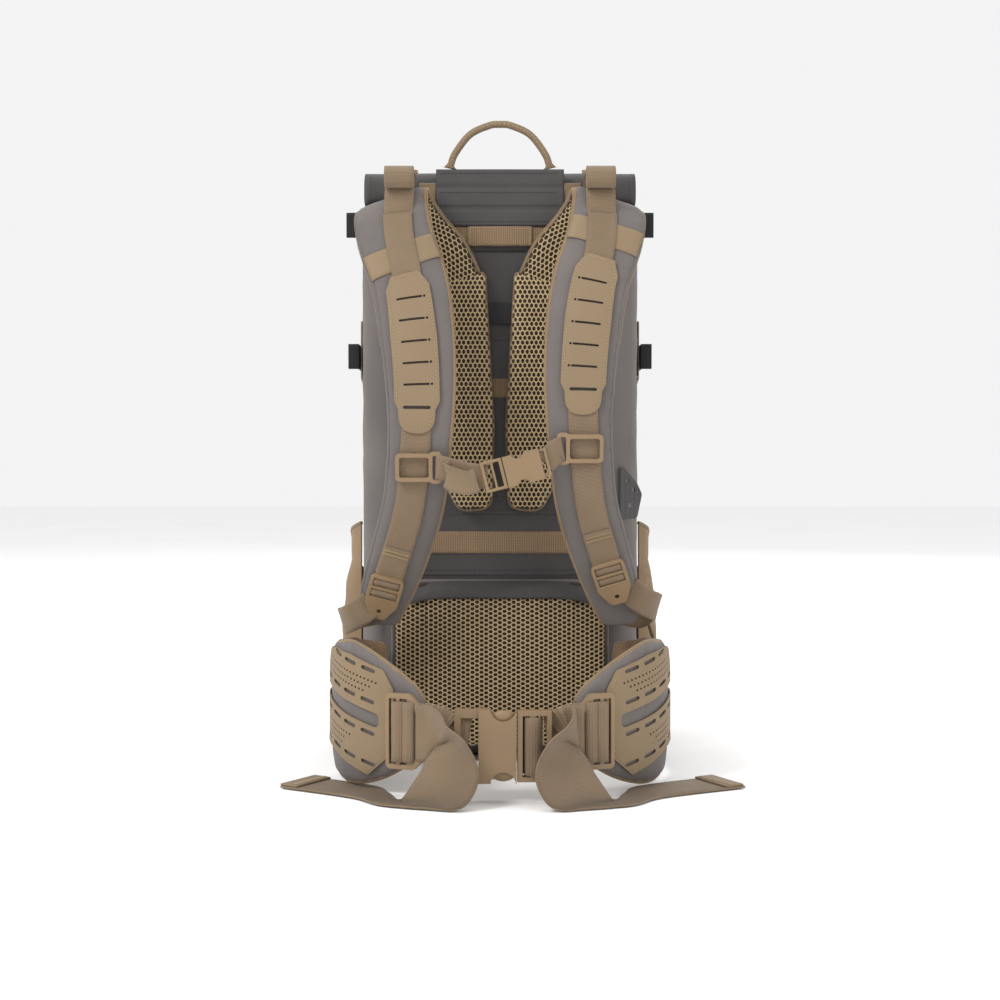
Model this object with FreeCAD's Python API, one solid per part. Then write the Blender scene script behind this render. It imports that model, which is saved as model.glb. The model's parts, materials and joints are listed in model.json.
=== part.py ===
"""Hunting backpack with a framed back panel, a padded harness and a buckled hip belt.

Frame: millimetres, +Z up, +Y towards the bag's outer side, away from the wearer, +X to the
wearer's right-hand side as seen from the harness. The origin is on the floor under the middle
of the bag's base. Left is -X. Left parts are built first, and right parts are their mirror
images, moved along the strap by SIDE_LIFT where the harness is adjusted unevenly.
"""

import FreeCAD, Part
import math
import os

from FreeCAD import Vector as V

# Driving dimensions of the bag.
BAG_HALF = 127.0
BAG_FRONT = -100.0
BAG_REAR = 95.0
BAG_TOP = 496.0
BAG_SHOULDER = 405.0
BAG_CORNER = 32.0
BAG_FOOT = 26.0
FABRIC = 2.5
MOUTH_REAR = -57.0
ROLL_HALF = 123.0
ROLL_FRONT = -100.5
ROLL_TOP = 528.0

# Webbing sizes.
BELT_WEB = 45.0
STRAP_WEB = 25.0
STERNUM_WEB = 20.0
WEB_THICK = 1.8

# The back panel and what is sewn to it.
PANEL_FACE = -104.0
PANEL_HALF = 97.0
FLAP_HALF = 57.0
PAD_FACE = -129.0
LUMBAR_HALF = 95.0
LUMBAR_TOP = 160.0
LUMBAR_FOOT = 15.0
LUMBAR_FACE = -134.0

# The harness.
STRAP_THICK = 13.0
WEB_SHIFT = -3.0
SIDE_LIFT = {"left": 0.0, "right": 15.0}
CROSS_WIDE = 24.0
CROSS_RISE = 8.0
HANDLE_HALF = 47.0
HANDLE_TOP = 572.0
HANDLE_Y = -104.5
HANDLE_R = 3.4

# The hip belt.
WING_THICK = 14.0
BELT_Z = 44.0
ADJUSTER_Z = 54.5
BUCKLE_Y = -292.0
BUCKLE_THICK = 14.0

X_AXIS = V(1, 0, 0)
Y_AXIS = V(0, 1, 0)
Z_AXIS = V(0, 0, 1)
PARTS = {}


# ---------------------------------------------------------------- helpers

def unit(v):
    return v * (1.0 / v.Length)


def keep(name, *solids):
    """Files the solids under one node name."""
    PARTS.setdefault(name, []).extend(solids)


def mirrored_vector(v):
    return V(-v.x, v.y, v.z)


def mirrored(shape):
    return shape.mirror(V(0, 0, 0), X_AXIS)


def block(x, y, z):
    """A box from three (low, high) ranges."""
    size = (x[1] - x[0], y[1] - y[0], z[1] - z[0])
    return Part.makeBox(*size, V(x[0], y[0], z[0]))


def outline(points, radii):
    """A closed wire through the points, each corner rounded with its own radius."""
    count = len(points)
    edges = []
    starts = []
    ends = []
    for i, p in enumerate(points):
        before = unit(points[i - 1] - p)
        after = unit(points[(i + 1) % count] - p)
        half = before.getAngle(after) / 2
        r = radii[i] if isinstance(radii, (list, tuple)) else radii
        if r < 0.01:
            starts.append(p)
            ends.append(p)
            edges.append(None)
            continue
        back = r / math.tan(half)
        a = p + before * back
        b = p + after * back
        middle = p + unit(before + after) * (r / math.sin(half) - r)
        starts.append(a)
        ends.append(b)
        edges.append(Part.Arc(a, middle, b).toShape())
    wire = []
    for i in range(count):
        if edges[i] is not None:
            wire.append(edges[i])
        following = starts[(i + 1) % count]
        if (following - ends[i]).Length > 1e-6:
            wire.append(Part.LineSegment(ends[i], following).toShape())
    return Part.Wire(wire)


def plate(points, radii, thickness, holes=()):
    """A flat plate: an outline with holes, pushed along the thickness vector."""
    body = Part.Face(outline(points, radii)).extrude(thickness)
    for hole_points, hole_radii in holes:
        body = body.cut(Part.Face(outline(hole_points, hole_radii)).extrude(thickness))
    return body


def rectangle(x0, x1, z0, z1, y=0.0):
    return [V(x0, y, z0), V(x1, y, z0), V(x1, y, z1), V(x0, y, z1)]


def placed(shape, origin, x_dir, y_dir, z_dir):
    """A copy of a shape built at the origin, turned to three directions and moved."""
    moved = shape.copy()
    moved.Placement = FreeCAD.Placement(origin, FreeCAD.Rotation(x_dir, y_dir, z_dir, "ZXY"))
    return moved


def band(stations):
    """A strap lofted through (centre, across, normal, width, thickness) rectangles."""
    wires = []
    for centre, across, normal, width, thick in stations:
        a = across * (width / 2)
        n = normal * (thick / 2)
        corners = [centre - a - n, centre + a - n, centre + a + n, centre - a + n]
        wires.append(Part.makePolygon(corners + corners[:1]))
    return Part.makeLoft(wires, True, True)


def frames(centres, acrosses):
    """(centre, across, normal) along a path, each square to the next."""
    found = []
    last = len(centres) - 1
    for i, centre in enumerate(centres):
        tangent = unit(centres[min(i + 1, last)] - centres[max(i - 1, 0)])
        across = acrosses[i] - tangent * acrosses[i].dot(tangent)
        across = unit(across)
        found.append((centre, across, unit(tangent.cross(across))))
    return found


def smoothed(points, steps):
    """The points with a Catmull-Rom curve's points between them."""
    last = len(points) - 1
    result = []
    for i in range(last):
        p0, p1, p2, p3 = (points[min(max(k, 0), last)] for k in (i - 1, i, i + 1, i + 2))
        for step in range(steps):
            t = step / steps
            result.append((p1 * 2 + (p2 - p0) * t + (p0 * 2 - p1 * 5 + p2 * 4 - p3) * t ** 2
                           + (p1 * 3 - p0 - p2 * 3 + p3) * t ** 3) * 0.5)
    return result + [points[last]]


def ribbon(centres, acrosses, width, thick=WEB_THICK, steps=4):
    found = frames(smoothed(centres, steps), smoothed(acrosses, steps))
    return band([(c, a, n, width, thick) for c, a, n in found])


def upright(points, acrosses, width, thick=WEB_THICK):
    """A short webbing run whose ends stay square to its buckles, so it leans without turning."""
    stations = []
    for i, (p, across) in enumerate(zip(points, acrosses)):
        run = points[min(i + 1, len(points) - 1)] - points[max(i - 1, 0)]
        stations.append((p, across, unit(run.cross(across)), width, thick))
    return band(stations)


def mixed(a, b, share):
    return a * (1 - share) + b * share


def tube(points, radius):
    """A round cord along straight runs joined by tangent arcs. Prints the arcs' radii."""
    lengths = [(points[i + 1] - points[i]).Length for i in range(len(points) - 1)]
    edges = []
    start = points[0]
    radii = []
    for i in range(1, len(points) - 1):
        before = unit(points[i - 1] - points[i])
        after = unit(points[i + 1] - points[i])
        turn = math.pi - before.getAngle(after)
        back = 0.45 * min(lengths[i - 1], lengths[i])
        arc_radius = back / math.tan(turn / 2)
        radii.append(round(arc_radius, 1))
        a = points[i] + before * back
        b = points[i] + after * back
        half = (math.pi - turn) / 2
        middle = points[i] + unit(before + after) * (arc_radius / math.sin(half) - arc_radius)
        edges.append(Part.LineSegment(start, a).toShape())
        edges.append(Part.Arc(a, middle, b).toShape())
        start = b
    edges.append(Part.LineSegment(start, points[-1]).toShape())
    path = Part.Wire(edges)
    ring = Part.Wire(Part.Circle(points[0], unit(points[1] - points[0]), radius).toShape())
    solid = path.makePipeShell([ring], True, False, 2)
    expected = math.pi * radius ** 2 * path.Length
    print("cord", round(path.Length, 1), "mm, arc radii", radii, "volume share",
          round(solid.Volume / expected, 4))
    return solid


# ---------------------------------------------------------------- bag and frame

def bag_solid(inset, top):
    """The bag's solid drawn in by inset: a rounded box up to top, its outer shoulder sloped off."""
    half = BAG_HALF - inset
    front = BAG_FRONT + inset
    rear = BAG_REAR - inset
    plan = [V(-half, front, inset), V(half, front, inset), V(half, rear, inset), V(-half, rear, inset)]
    body = Part.Face(outline(plan, BAG_CORNER - inset)).extrude(V(0, 0, top - inset))
    foot = [e for e in body.Edges if all(abs(v.Z - inset) < 1e-6 for v in e.Vertexes)]
    body = body.makeFillet(BAG_FOOT - inset, foot)

    x = -half - 20
    lip = MOUTH_REAR - inset
    clear = rear + 0.8
    shoulder = [V(x, clear, 300), V(x, clear, BAG_SHOULDER - inset), V(x, lip, BAG_TOP - 6 - inset),
                V(x, lip, top + 50), V(x, clear + 60, top + 50), V(x, clear + 60, 300)]
    return body.cut(Part.Face(outline(shoulder, [0, 55, 0, 0, 0, 0])).extrude(V(-2 * x, 0, 0)))


def make_bag():
    keep("bag_shell", bag_solid(0, BAG_TOP).cut(bag_solid(FABRIC, BAG_TOP + 20)))

    x = -ROLL_HALF
    low = BAG_TOP + 0.6
    roll = Part.Face(outline([V(x, ROLL_FRONT, low), V(x, MOUTH_REAR - 3, low),
                              V(x, MOUTH_REAR - 3, ROLL_TOP), V(x, ROLL_FRONT, ROLL_TOP)], 9))
    keep("roll_top", roll.extrude(V(2 * ROLL_HALF, 0, 0)))


def make_frame():
    sheet = plate(rectangle(-92, 92, 34, 470, -97.2), 18, V(0, 1.6, 0))
    keep("frame_sheet", sheet)
    for x in (-60, 60):
        keep("frame_stays", block((x - 10, x + 10), (-95.5, -92.5), (34, 466)))


def make_back_panel():
    y = PANEL_FACE
    panel = plate(rectangle(-PANEL_HALF, PANEL_HALF, 30, BAG_TOP, y), [14, 14, 10, 10], V(0, 3.6, 0))
    flap = block((-FLAP_HALF, FLAP_HALF), (y - 4.4, y - 2.4), (478, ROLL_TOP))
    root = block((-FLAP_HALF, FLAP_HALF), (y - 2.4, y), (478, 486))
    keep("back_panel", panel.fuse([flap, root]).removeSplitter())

    for half, low, high in ((44, 460, 480), (22, 325, 342), (66, 185, 205)):
        high = min(high, 477.5)
        keep("ladder_webbing", block((-half, half), (y - 2.2, y - 0.1), (low, high)))
    keep("ladder_webbing", block((-28, 28), (y - 4.4, y - 2.3), (460, 477.5)))
    keep("dark_webbing", block((-62, 62), (y - 2.2, y - 0.1), (390, 410)))
    for side in (-1, 1):
        keep("ladder_webbing", block((side * 61 - 3.5, side * 61 + 3.5), (y - 2.4, y - 0.2), (482, 519)))


def make_back_pads():
    """Two upright foam pads, tapered and rounded at the foot."""
    y = PAD_FACE
    depth = V(0, PANEL_FACE - 2.5 - y, 0)
    left = plate([V(-62, y, 416), V(-56, y, 262), V(-36, y, 224), V(-8, y, 226), V(-6, y, 300), V(-15, y, 416)],
                 [4, 14, 12, 12, 40, 4], depth)
    keep("back_pad_left", left)
    keep("back_pad_right", mirrored(left))

    y = LUMBAR_FACE
    pad = plate([V(-LUMBAR_HALF, y, LUMBAR_FOOT + 8), V(-70, y, LUMBAR_FOOT), V(70, y, LUMBAR_FOOT),
                 V(LUMBAR_HALF, y, LUMBAR_FOOT + 8), V(LUMBAR_HALF, y, LUMBAR_TOP - 22), V(74, y, LUMBAR_TOP),
                 V(-74, y, LUMBAR_TOP), V(-LUMBAR_HALF, y, LUMBAR_TOP - 22)],
                [14, 20, 20, 14, 14, 16, 16, 14], V(0, PANEL_FACE - 2.4 - y, 0))
    keep("lumbar_pad", pad)
    keep("lumbar_plate", plate(rectangle(-88, 88, 32, 150, PANEL_FACE - 2.2), 16, V(0, 2.0, 0)))


# ---------------------------------------------------------------- shoulder straps

# (outer x, inner x, outer z, inner z, y) of the left strap, from its rear foot over the
# shoulder and down the chest.
STRAP_RAILS = [
    (-76, -15, 423, 423, -113),
    (-86, -26, 446, 446, -114),
    (-100, -43, 462, 470, -118),
    (-112, -56, 474, 491, -126),
    (-120, -62, 481, 503, -141),
    (-124, -63, 474, 492, -157),
    (-121, -57, 453, 461, -169),
    (-109, -45, 421, 421, -181),
    (-102, -39, 382, 382, -192),
    (-96, -37, 334, 334, -200),
    (-94, -40, 287, 287, -203),
    (-98.5, -46.5, 234, 234, -195),
    (-110, -60, 191, 191, -180),
    (-121, -78, 149, 149, -164),
    (-117, -88, 129, 129, -156),
]
CHEST = 15


def strap_frames():
    """(centre, across, outward normal, width) at each rail station."""
    centres = smoothed([V((xo + xi) / 2, y, (zo + zi) / 2) for xo, xi, zo, zi, y in STRAP_RAILS], 3)
    acrosses = smoothed([V(xi - xo, 0, zi - zo) for xo, xi, zo, zi, y in STRAP_RAILS], 3)
    found = frames(centres, acrosses)
    return [(c, a, n, acrosses[i].Length) for i, (c, a, n) in enumerate(found)]


def on_strap(z, frames_found):
    """The strap's frame on the chest side at height z."""
    chest = frames_found[CHEST:]
    for low, high in zip(chest[1:], chest[:-1]):
        if low[0].z <= z <= high[0].z:
            share = (z - low[0].z) / (high[0].z - low[0].z)
            return tuple(mixed(low[k], high[k], share) for k in range(3)) + (
                low[3] * (1 - share) + high[3] * share,)
    raise ValueError(f"no strap at {z}")


def over_strap(top, foot, widths, thick, lift):
    """A thin band lying on the strap from top to foot; widths are (height, width) pairs."""
    found = strap_frames()
    heights = sorted({top, foot, *(h for h, _ in widths),
                      *(f[0].z for f in found[CHEST:] if foot < f[0].z < top)}, reverse=True)
    stations = []
    for z in heights:
        centre, across, normal, _ = on_strap(z, found)
        above = [w for w in widths if w[0] >= z][-1]
        below = [w for w in widths if w[0] <= z][0]
        span = above[0] - below[0]
        share = (z - below[0]) / span if span else 0
        width = below[1] * (1 - share) + above[1] * share
        middle = centre + normal * (STRAP_THICK / 2 + lift + thick / 2) + across * WEB_SHIFT
        stations.append((middle, unit(across), unit(normal), width, thick))
    return band(stations)


def ladder_lock(width, height, thick, bars):
    """A ladder lock in its own XZ plane: slots between bars, and a thumb tab with a hole."""
    half = width / 2
    tab = height * 0.36
    points = [V(-half, 0, height / 2), V(-half, 0, -height / 2 + tab), V(-half * 0.45, 0, -height / 2),
              V(half * 0.45, 0, -height / 2), V(half, 0, -height / 2 + tab), V(half, 0, height / 2)]
    body = plate(points, [5, 9, 5, 5, 9, 5], V(0, thick, 0))
    step = (height - tab - 6) / bars
    for k in range(bars):
        low = height / 2 - 3 - step * (k + 1) + 2.4
        high = height / 2 - 3 - step * k
        body = body.cut(block((-half + 3, half - 3), (-1, thick + 1), (low, high)))
    hole = Part.makeCylinder(1.9, thick + 2, V(0, -1, -height / 2 + tab * 0.5), Y_AXIS)
    return body.cut(hole)


def make_strap(side):
    """One shoulder strap with everything sewn to it."""
    flip = mirrored if side == "right" else (lambda shape: shape)
    up = SIDE_LIFT[side]
    found = strap_frames()
    keep(f"shoulder_strap_{side}", flip(band([(c, a, n, w, STRAP_THICK) for c, a, n, w in found])))

    cloth = 0.5
    web_low = 1.4
    panel_low = web_low + WEB_THICK + 0.1
    for top, foot in ((474, 400 + up), (310 + up, 176 + up)):
        web = over_strap(top, foot, [(top, STRAP_WEB), (foot, STRAP_WEB)], WEB_THICK, web_low)
        keep(f"strap_webbing_{side}", flip(web))

    shape = [(422 + up, 30), (412 + up, 37), (330 + up, 38), (312 + up, 35), (302 + up, 26), (293 + up, 14)]
    panel = over_strap(422 + up, 293 + up, shape, 1.2, panel_low)
    for z in [403, 385, 367, 349, 331]:
        centre, across, _, _ = on_strap(z + up, found)
        x = (centre + across * WEB_SHIFT).x
        panel = panel.cut(block((x - 12, x + 12), (-230, -170), (z + up - 0.8, z + up + 0.8)))
    centre, across, _, _ = on_strap(312 + up, found)
    x = (centre + across * WEB_SHIFT).x
    panel = panel.cut(block((x - 12, x + 12), (-230, -170), (310.5 + up, 313.5 + up)))
    keep(f"strap_panel_{side}", flip(panel))

    stations = []
    for step in (-1, -0.5, 0, 0.5, 1):
        centre, across, normal, width = on_strap(437 + up * 0.8 + CROSS_RISE * step, found)
        front = centre + across * step * (width / 2 - 1) + normal * (STRAP_THICK / 2 + cloth / 2 + 0.45)
        tilt = across * (width / 2) + Z_AXIS * CROSS_RISE
        stations.append((front, unit(tilt.cross(normal)), unit(normal), CROSS_WIDE, cloth))
    keep("cross_bands", flip(band(stations)))
    return found, flip, up


def make_load_lifter(side, flip):
    """The rolled tail over the shoulder, its ladder lock, and the anchor on the back panel."""
    x = -86.0
    half = STRAP_WEB / 2
    roll = Part.makeCylinder(10.5, STRAP_WEB, V(x - half, -172, 511), X_AXIS)
    anchor = ribbon([V(x, -131, 525.5), V(x, -121, 520), V(x, -113, 508), V(x, -108, 494), V(x, -105.4, 478)],
                    [X_AXIS] * 5, STRAP_WEB)
    keep(f"load_lifter_{side}", flip(roll), flip(anchor))

    lock = ladder_lock(29, 27, 3.4, 2)
    toward = unit(V(0, -1, -0.18))
    lock = placed(lock, V(x, -146, 521), X_AXIS, X_AXIS.cross(toward) * -1, toward * -1)
    keep(f"lifter_buckle_{side}", flip(lock))


def make_ladder_lock(side, found, flip, up):
    """The ladder lock at the strap's foot, and the webbing from it to the bag."""
    z = 155 + up * 0.85
    centre, across, normal, _ = on_strap(z, found)
    across = unit(across)
    normal = unit(normal)
    down = unit(across.cross(normal))
    down = down if down.z < 0 else down * -1
    origin = centre + normal * (STRAP_THICK / 2 + 3.4) + across * WEB_SHIFT
    lock = ladder_lock(29, 40, 4.2, 2)
    keep(f"ladder_lock_{side}", flip(placed(lock, origin + normal * 4.2, across, normal * -1, down * -1)))

    lift = up * 0.8
    path = [V(-120, -173, 138 + lift), V(-131, -168, 138 + lift), V(-138, -152, 138 + lift),
            V(-134, -132, 136 + lift), V(-124, -115, 134), V(-110, -105.5, 133)]
    lean = V(-0.3, 0, 1)
    keep(f"lower_webbing_{side}", flip(ribbon(path, [lean, lean, Z_AXIS, Z_AXIS, Z_AXIS, Z_AXIS], 24)))


# ---------------------------------------------------------------- sternum strap

def slider(width, height, thick):
    """A webbing slider: a frame with one wide window, and a ring at its inner side."""
    half = width / 2
    ring = 8.0
    body = plate(rectangle(-half, half, -height / 2, height / 2), 4, V(0, thick, 0),
                 [(rectangle(-half + 3.2, half - 3.2, -height / 2 + 3.6, height / 2 - 3.6), 2)])
    eye = plate(rectangle(half - 3.2, half + ring, -height / 2 - 1.5, height / 2 + 1.5), 4, V(0, thick, 0),
                [(rectangle(half + 0.2, half + ring - 3, -height / 2 + 2, height / 2 - 2), 1.4)])
    return body.fuse(eye).removeSplitter()


def sternum_buckle():
    """(female, male, upper prong, lower prong) about their own centre, the male on the left."""
    female = block((-12, 19), (-4.5, 4.5), (-13, 13))
    female = female.cut(block((-13, 13.5), (-2.7, 2.7), (-11.4, 11.4)))
    for sign in (-1, 1):
        female = female.cut(Part.makeCylinder(5.5, 12, V(1, -6, sign * 14.5), Y_AXIS))
    tail = block((19, 25), (-2, 2), (-12, 12)).cut(block((19.6, 22.8), (-3, 3), (-10, 10)))
    female = female.fuse(tail).removeSplitter()
    male = block((-31, -12.5), (-3.6, 3.6), (-13, 13))
    male = male.cut(block((-28, -22.5), (-5, 5), (-10.4, 10.4)))
    male = male.cut(block((-20.5, -15.5), (-5, 5), (-10.4, 10.4)))
    prongs = []
    for sign in (-1, 1):
        arm = [V(-12.1, -2, sign * 5.5), V(-12.1, -2, sign * 8.5), V(0, -2, sign * 8.7), V(3, -2, sign * 11.0),
               V(8, -2, sign * 10.4), V(10, -2, sign * 6.0)]
        prongs.append(plate(arm, [0, 0, 2, 1.5, 1.5, 1.5], V(0, 4, 0)))
    return female, male, prongs[1], prongs[0]


STERNUM_MIDDLE = V(16, -222.5, 261.5)
STERNUM_TILT = math.radians(14)


def make_sternum(side, found, flip, up):
    """One slider and its half of the sternum strap."""
    z = 264 + up
    centre, across, normal, _ = on_strap(z, found)
    origin = centre + normal * (STRAP_THICK / 2 + 7.2) + across * WEB_SHIFT
    down = unit(V(0, 0.148, -0.989))
    body = placed(slider(31, 24, 3.2), origin, X_AXIS, down.cross(X_AXIS) * -1, down * -1)
    keep(f"sternum_slider_{side}", flip(body))


def make_sternum_strap():
    along = V(math.cos(STERNUM_TILT), 0, math.sin(STERNUM_TILT))
    rise = V(-math.sin(STERNUM_TILT), 0, math.cos(STERNUM_TILT))
    names = ("sternum_buckle_female", "sternum_buckle_male", "sternum_prong_upper", "sternum_prong_lower")
    for name, shape in zip(names, sternum_buckle()):
        keep(name, placed(shape, STERNUM_MIDDLE, along, Y_AXIS, rise))
    mid = STERNUM_MIDDLE
    left_end = V(-48.5, -217, 262.5)
    male_end = mid - along * 31.6
    path = [left_end, mixed(left_end, male_end, 0.5) + V(0, -1, -1), male_end]
    keep("sternum_webbing_left", upright(path, [Z_AXIS, unit(Z_AXIS + rise), rise], STERNUM_WEB))
    fold = [V(-40, -219.5, 259), V(-42.5, -223.5, 256), V(-39, -227, 252), V(-27, -228.5, 250),
            V(-19, -226.5, 252)]
    loop = ribbon(fold, [Z_AXIS] * 5, STERNUM_WEB)
    keep("sternum_webbing_left", loop)
    right_end = V(46.6, -217.5, 276.8)
    female_end = mid + along * 25.6
    path = [female_end, mixed(female_end, right_end, 0.5), right_end]
    keep("sternum_webbing_right", upright(path, [rise, unit(Z_AXIS + rise), Z_AXIS], STERNUM_WEB))


# ---------------------------------------------------------------- hip belt

# (x, y, foot z, top z) along the middle of the left wing, from the lumbar pad to the tip.
WING = [
    (-103.5, -121, 24, 108),
    (-114, -130, 22, 111),
    (-128, -150, 20, 114),
    (-135, -180, 15, 116),
    (-132, -212, 6, 119),
    (-117, -242, 4.5, 121),
    (-92, -262, 13, 108),
    (-68, -273, 29, 90),
    (-60, -275.5, 42, 78),
]


def wing_frames():
    """(middle, outward direction, foot, top) along the wing."""
    centres = smoothed([V(x, y, 0) for x, y, _, _ in WING], 3)
    edges = smoothed([V(foot, top, 0) for _, _, foot, top in WING], 3)
    found = frames(centres, [Z_AXIS] * len(centres))
    return [(c, n, edge.x, edge.y) for (c, _, n), edge in zip(found, edges)]


def on_wing(share):
    """The wing's middle, outward direction, foot and top, a share of the way along."""
    found = wing_frames()
    at = share * (len(found) - 1)
    i = min(int(at), len(found) - 2)
    t = at - i
    a, b = found[i], found[i + 1]
    foot = a[2] * (1 - t) + b[2] * t
    top = a[3] * (1 - t) + b[3] * t
    return mixed(a[0], b[0], t), unit(mixed(a[1], b[1], t)), foot, top


def make_wing(side):
    flip = mirrored if side == "right" else (lambda shape: shape)
    stations = []
    for centre, out, foot, top in wing_frames():
        stations.append((centre + Z_AXIS * (foot + top) / 2, Z_AXIS, out, top - foot, WING_THICK))
    keep(f"wing_{side}", flip(band(stations)))

    stations = []
    for step in range(17):
        share = 0.22 + 0.66 * step / 16
        centre, out, foot, top = on_wing(share)
        drawn = 12 * max(0.0, (share - 0.7) / 0.18)
        low = foot + 9 + drawn * 0.5
        high = top - 17 - drawn
        middle = centre + out * (WING_THICK / 2 + 1.1) + Z_AXIS * (low + high) / 2
        stations.append((middle, Z_AXIS, out, high - low, 1.2))
    panel = band(stations)
    for share in (0.36, 0.52, 0.68):
        centre, out, foot, top = on_wing(share)
        along = out.cross(Z_AXIS)
        for level in (0.12, 0.34, 0.56, 0.78):
            z = foot + 14 + (top - foot - 32) * level
            cutter = block((-5.5, 5.5), (-8, 8), (-1.5, 1.5))
            panel = panel.cut(placed(cutter, centre + out * 8 + Z_AXIS * z, along, out, Z_AXIS))
    keep(f"wing_panel_{side}", flip(panel))

    frame = plate([V(-16, 0, -30), V(8, 0, -30), V(17, 0, -22), V(17, 0, 17), V(5, 0, 30), V(-16, 0, 30)],
                  [4, 6, 6, 6, 6, 4], V(0, 4.6, 0))
    for low, high in ((-13, -7), (-3.6, 2.4), (5.8, 13.4)):
        rise = 26 if high < 10 else 16
        frame = frame.cut(block((low, high), (-1, 6), (-26 if high < 10 else -22, rise)))
    inward = unit(V(33, -13, 0))
    outward = unit(V(-13, -33, 0))
    keep(f"belt_adjuster_{side}", flip(placed(frame, V(-76, -289.5, ADJUSTER_Z), inward, outward * -1, Z_AXIS)))


def make_belt_webbing():
    """From each adjuster to the buckle, and the loose ends that turn back along the floor."""
    z = ADJUSTER_Z
    left = [V(-55, -290.5, z), V(-49, -290.8, z - 3), V(-43, -291.6, BELT_Z + 4), V(-37.6, BUCKLE_Y, BELT_Z + 2)]
    keep("belt_tail_left", upright(left, [Z_AXIS] * 4, BELT_WEB))
    right = [V(56, -290, z), V(52, -290.4, z - 3), V(47.6, -291.2, BELT_Z + 4), V(42.6, BUCKLE_Y, BELT_Z + 2)]
    keep("belt_tail_right", upright(right, [Z_AXIS] * 4, BELT_WEB))
    for side, shift, reach in ((-1, 0, -168), (1, 12, 189)):
        front = -300.5 - shift * 0.12
        path = [(54.5 + shift * 0.5, front, z, 0, 0, 1), (48 + shift * 0.5, front - 2, 50, 0.25, -0.1, 0.96),
                (39 + shift, -309, 40, 0.6, -0.3, 0.75), (36 + shift, -319, 27, 0.88, -0.35, 0.3),
                (41 + shift, -323, 14, 0.6, -0.8, 0.1), (57 + shift, -314, 5, -0.1, -1, 0),
                (93 + shift, -284, 1.6, -0.55, -0.83, 0), (abs(reach), -222, 1.6, -0.5, -0.87, 0)]
        centres = [V(side * x, y, height) for x, y, height, _, _, _ in path]
        acrosses = [V(-side * a, b, c) for _, _, _, a, b, c in path]
        keep("belt_tail_left" if side < 0 else "belt_tail_right", ribbon(centres, acrosses, BELT_WEB, steps=5))


def hip_buckle():
    """(female, male, upper prong, lower prong) about the buckle's middle, the male on the right."""
    half = 29.0
    deep = BUCKLE_THICK / 2
    female = block((-17, 13), (-deep, deep), (-half, half))
    female = female.cut(block((-13, 14), (-4.5, 4.5), (-half + 1.3, half - 1.3)))
    for sign in (-1, 1):
        female = female.cut(Part.makeCylinder(10, 30, V(2.5, -15, sign * (half + 1)), Y_AXIS))
        female = female.fuse(block((-34, -17), (-4, 4), (sign * 25.6 - 3.3, sign * 25.6 + 3.3)))
    female = female.fuse(block((-36, -31), (-4, 4), (-half + 0.1, half - 0.1))).removeSplitter()
    male = block((13.5, 41), (-5.5, 5.5), (-half + 1, half - 1))
    male = male.cut(block((18, 23.5), (-7, 7), (-24, 24)))
    male = male.cut(block((28.5, 37), (-7, 7), (-24, 24)))
    prongs = []
    for sign in (-1, 1):
        arm = [V(12.9, -3, sign * 15), V(12.9, -3, sign * 21), V(3, -3, sign * 21.5), V(-3, -3, sign * 26.6),
               V(-9, -3, sign * 25.6), V(-11.5, -3, sign * 17)]
        prongs.append(plate(arm, [0, 0, 4, 4, 3, 3], V(0, 6, 0)))
    return female, male, prongs[1], prongs[0]


def make_hip_buckle():
    names = ("hip_buckle_female", "hip_buckle_male", "hip_prong_upper", "hip_prong_lower")
    for name, shape in zip(names, hip_buckle()):
        keep(name, placed(shape, V(0, BUCKLE_Y, BELT_Z), X_AXIS, Y_AXIS, Z_AXIS))


# ---------------------------------------------------------------- handle, pockets, rear

def make_handle():
    """The haul loop, one round arch with flat feet."""
    foot = ROLL_TOP + 2.2
    top = HANDLE_TOP - HANDLE_R
    half = HANDLE_HALF - HANDLE_R
    route = [(-half, foot), (-half + 4, foot + 12), (-half + 17, foot + 29), (-half + 34, top),
             (half - 34, top), (half - 17, foot + 29), (half - 4, foot + 12), (half, foot)]
    keep("haul_handle", tube([V(x, HANDLE_Y, z) for x, z in route], HANDLE_R))


def make_pocket(side):
    """A side pocket: an open-topped cloth wall standing off the bag's side."""
    flip = mirrored if side == "right" else (lambda shape: shape)
    inner_x = -BAG_HALF - 0.3
    outer_x = -148.0
    points = [V(inner_x, -62, 22), V(outer_x, -48, 22), V(outer_x, 46, 22), V(inner_x, 60, 22)]
    inside = [V(inner_x + 6, -59.5, 24), V(outer_x + 2, -46.5, 24), V(outer_x + 2, 44.5, 24),
              V(inner_x + 6, 57.5, 24)]
    wall = Part.Face(outline(points, [0, 12, 12, 0])).extrude(V(0, 0, 190))
    wall = wall.cut(Part.Face(outline(inside, [0, 10, 10, 0])).extrude(V(0, 0, 200)))
    slope = plate([V(-160, -70, 214), V(-160, 70, 150), V(-160, 70, 230), V(-160, -70, 230)], 0, V(60, 0, 0))
    keep(f"side_pocket_{side}", flip(wall.cut(slope)))


def make_side_straps():
    """Black compression straps along the bag's sides, and the slotted lash panels under them."""
    x = -BAG_HALF
    for flip in (mirrored, lambda shape: shape):
        upper = block((x - 3, x - 1), (-66, -62), (472, 496)).fuse(block((x - 14, x - 1), (-68, -66), (472, 496)))
        keep("side_straps", flip(upper.removeSplitter()))
        lower = block((x - 4, x - 2), (-66, 62), (352, 376)).fuse(block((x - 12, x - 2), (-68, -66), (352, 376)))
        keep("side_straps", flip(lower.removeSplitter()))
        keep("slotted_panels", flip(plate([V(x - 1.6, -60, 344), V(x - 1.6, 10, 330), V(x - 1.6, 10, 392),
                                           V(x - 1.6, -60, 398)], 6, V(1.2, 0, 0))))


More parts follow.
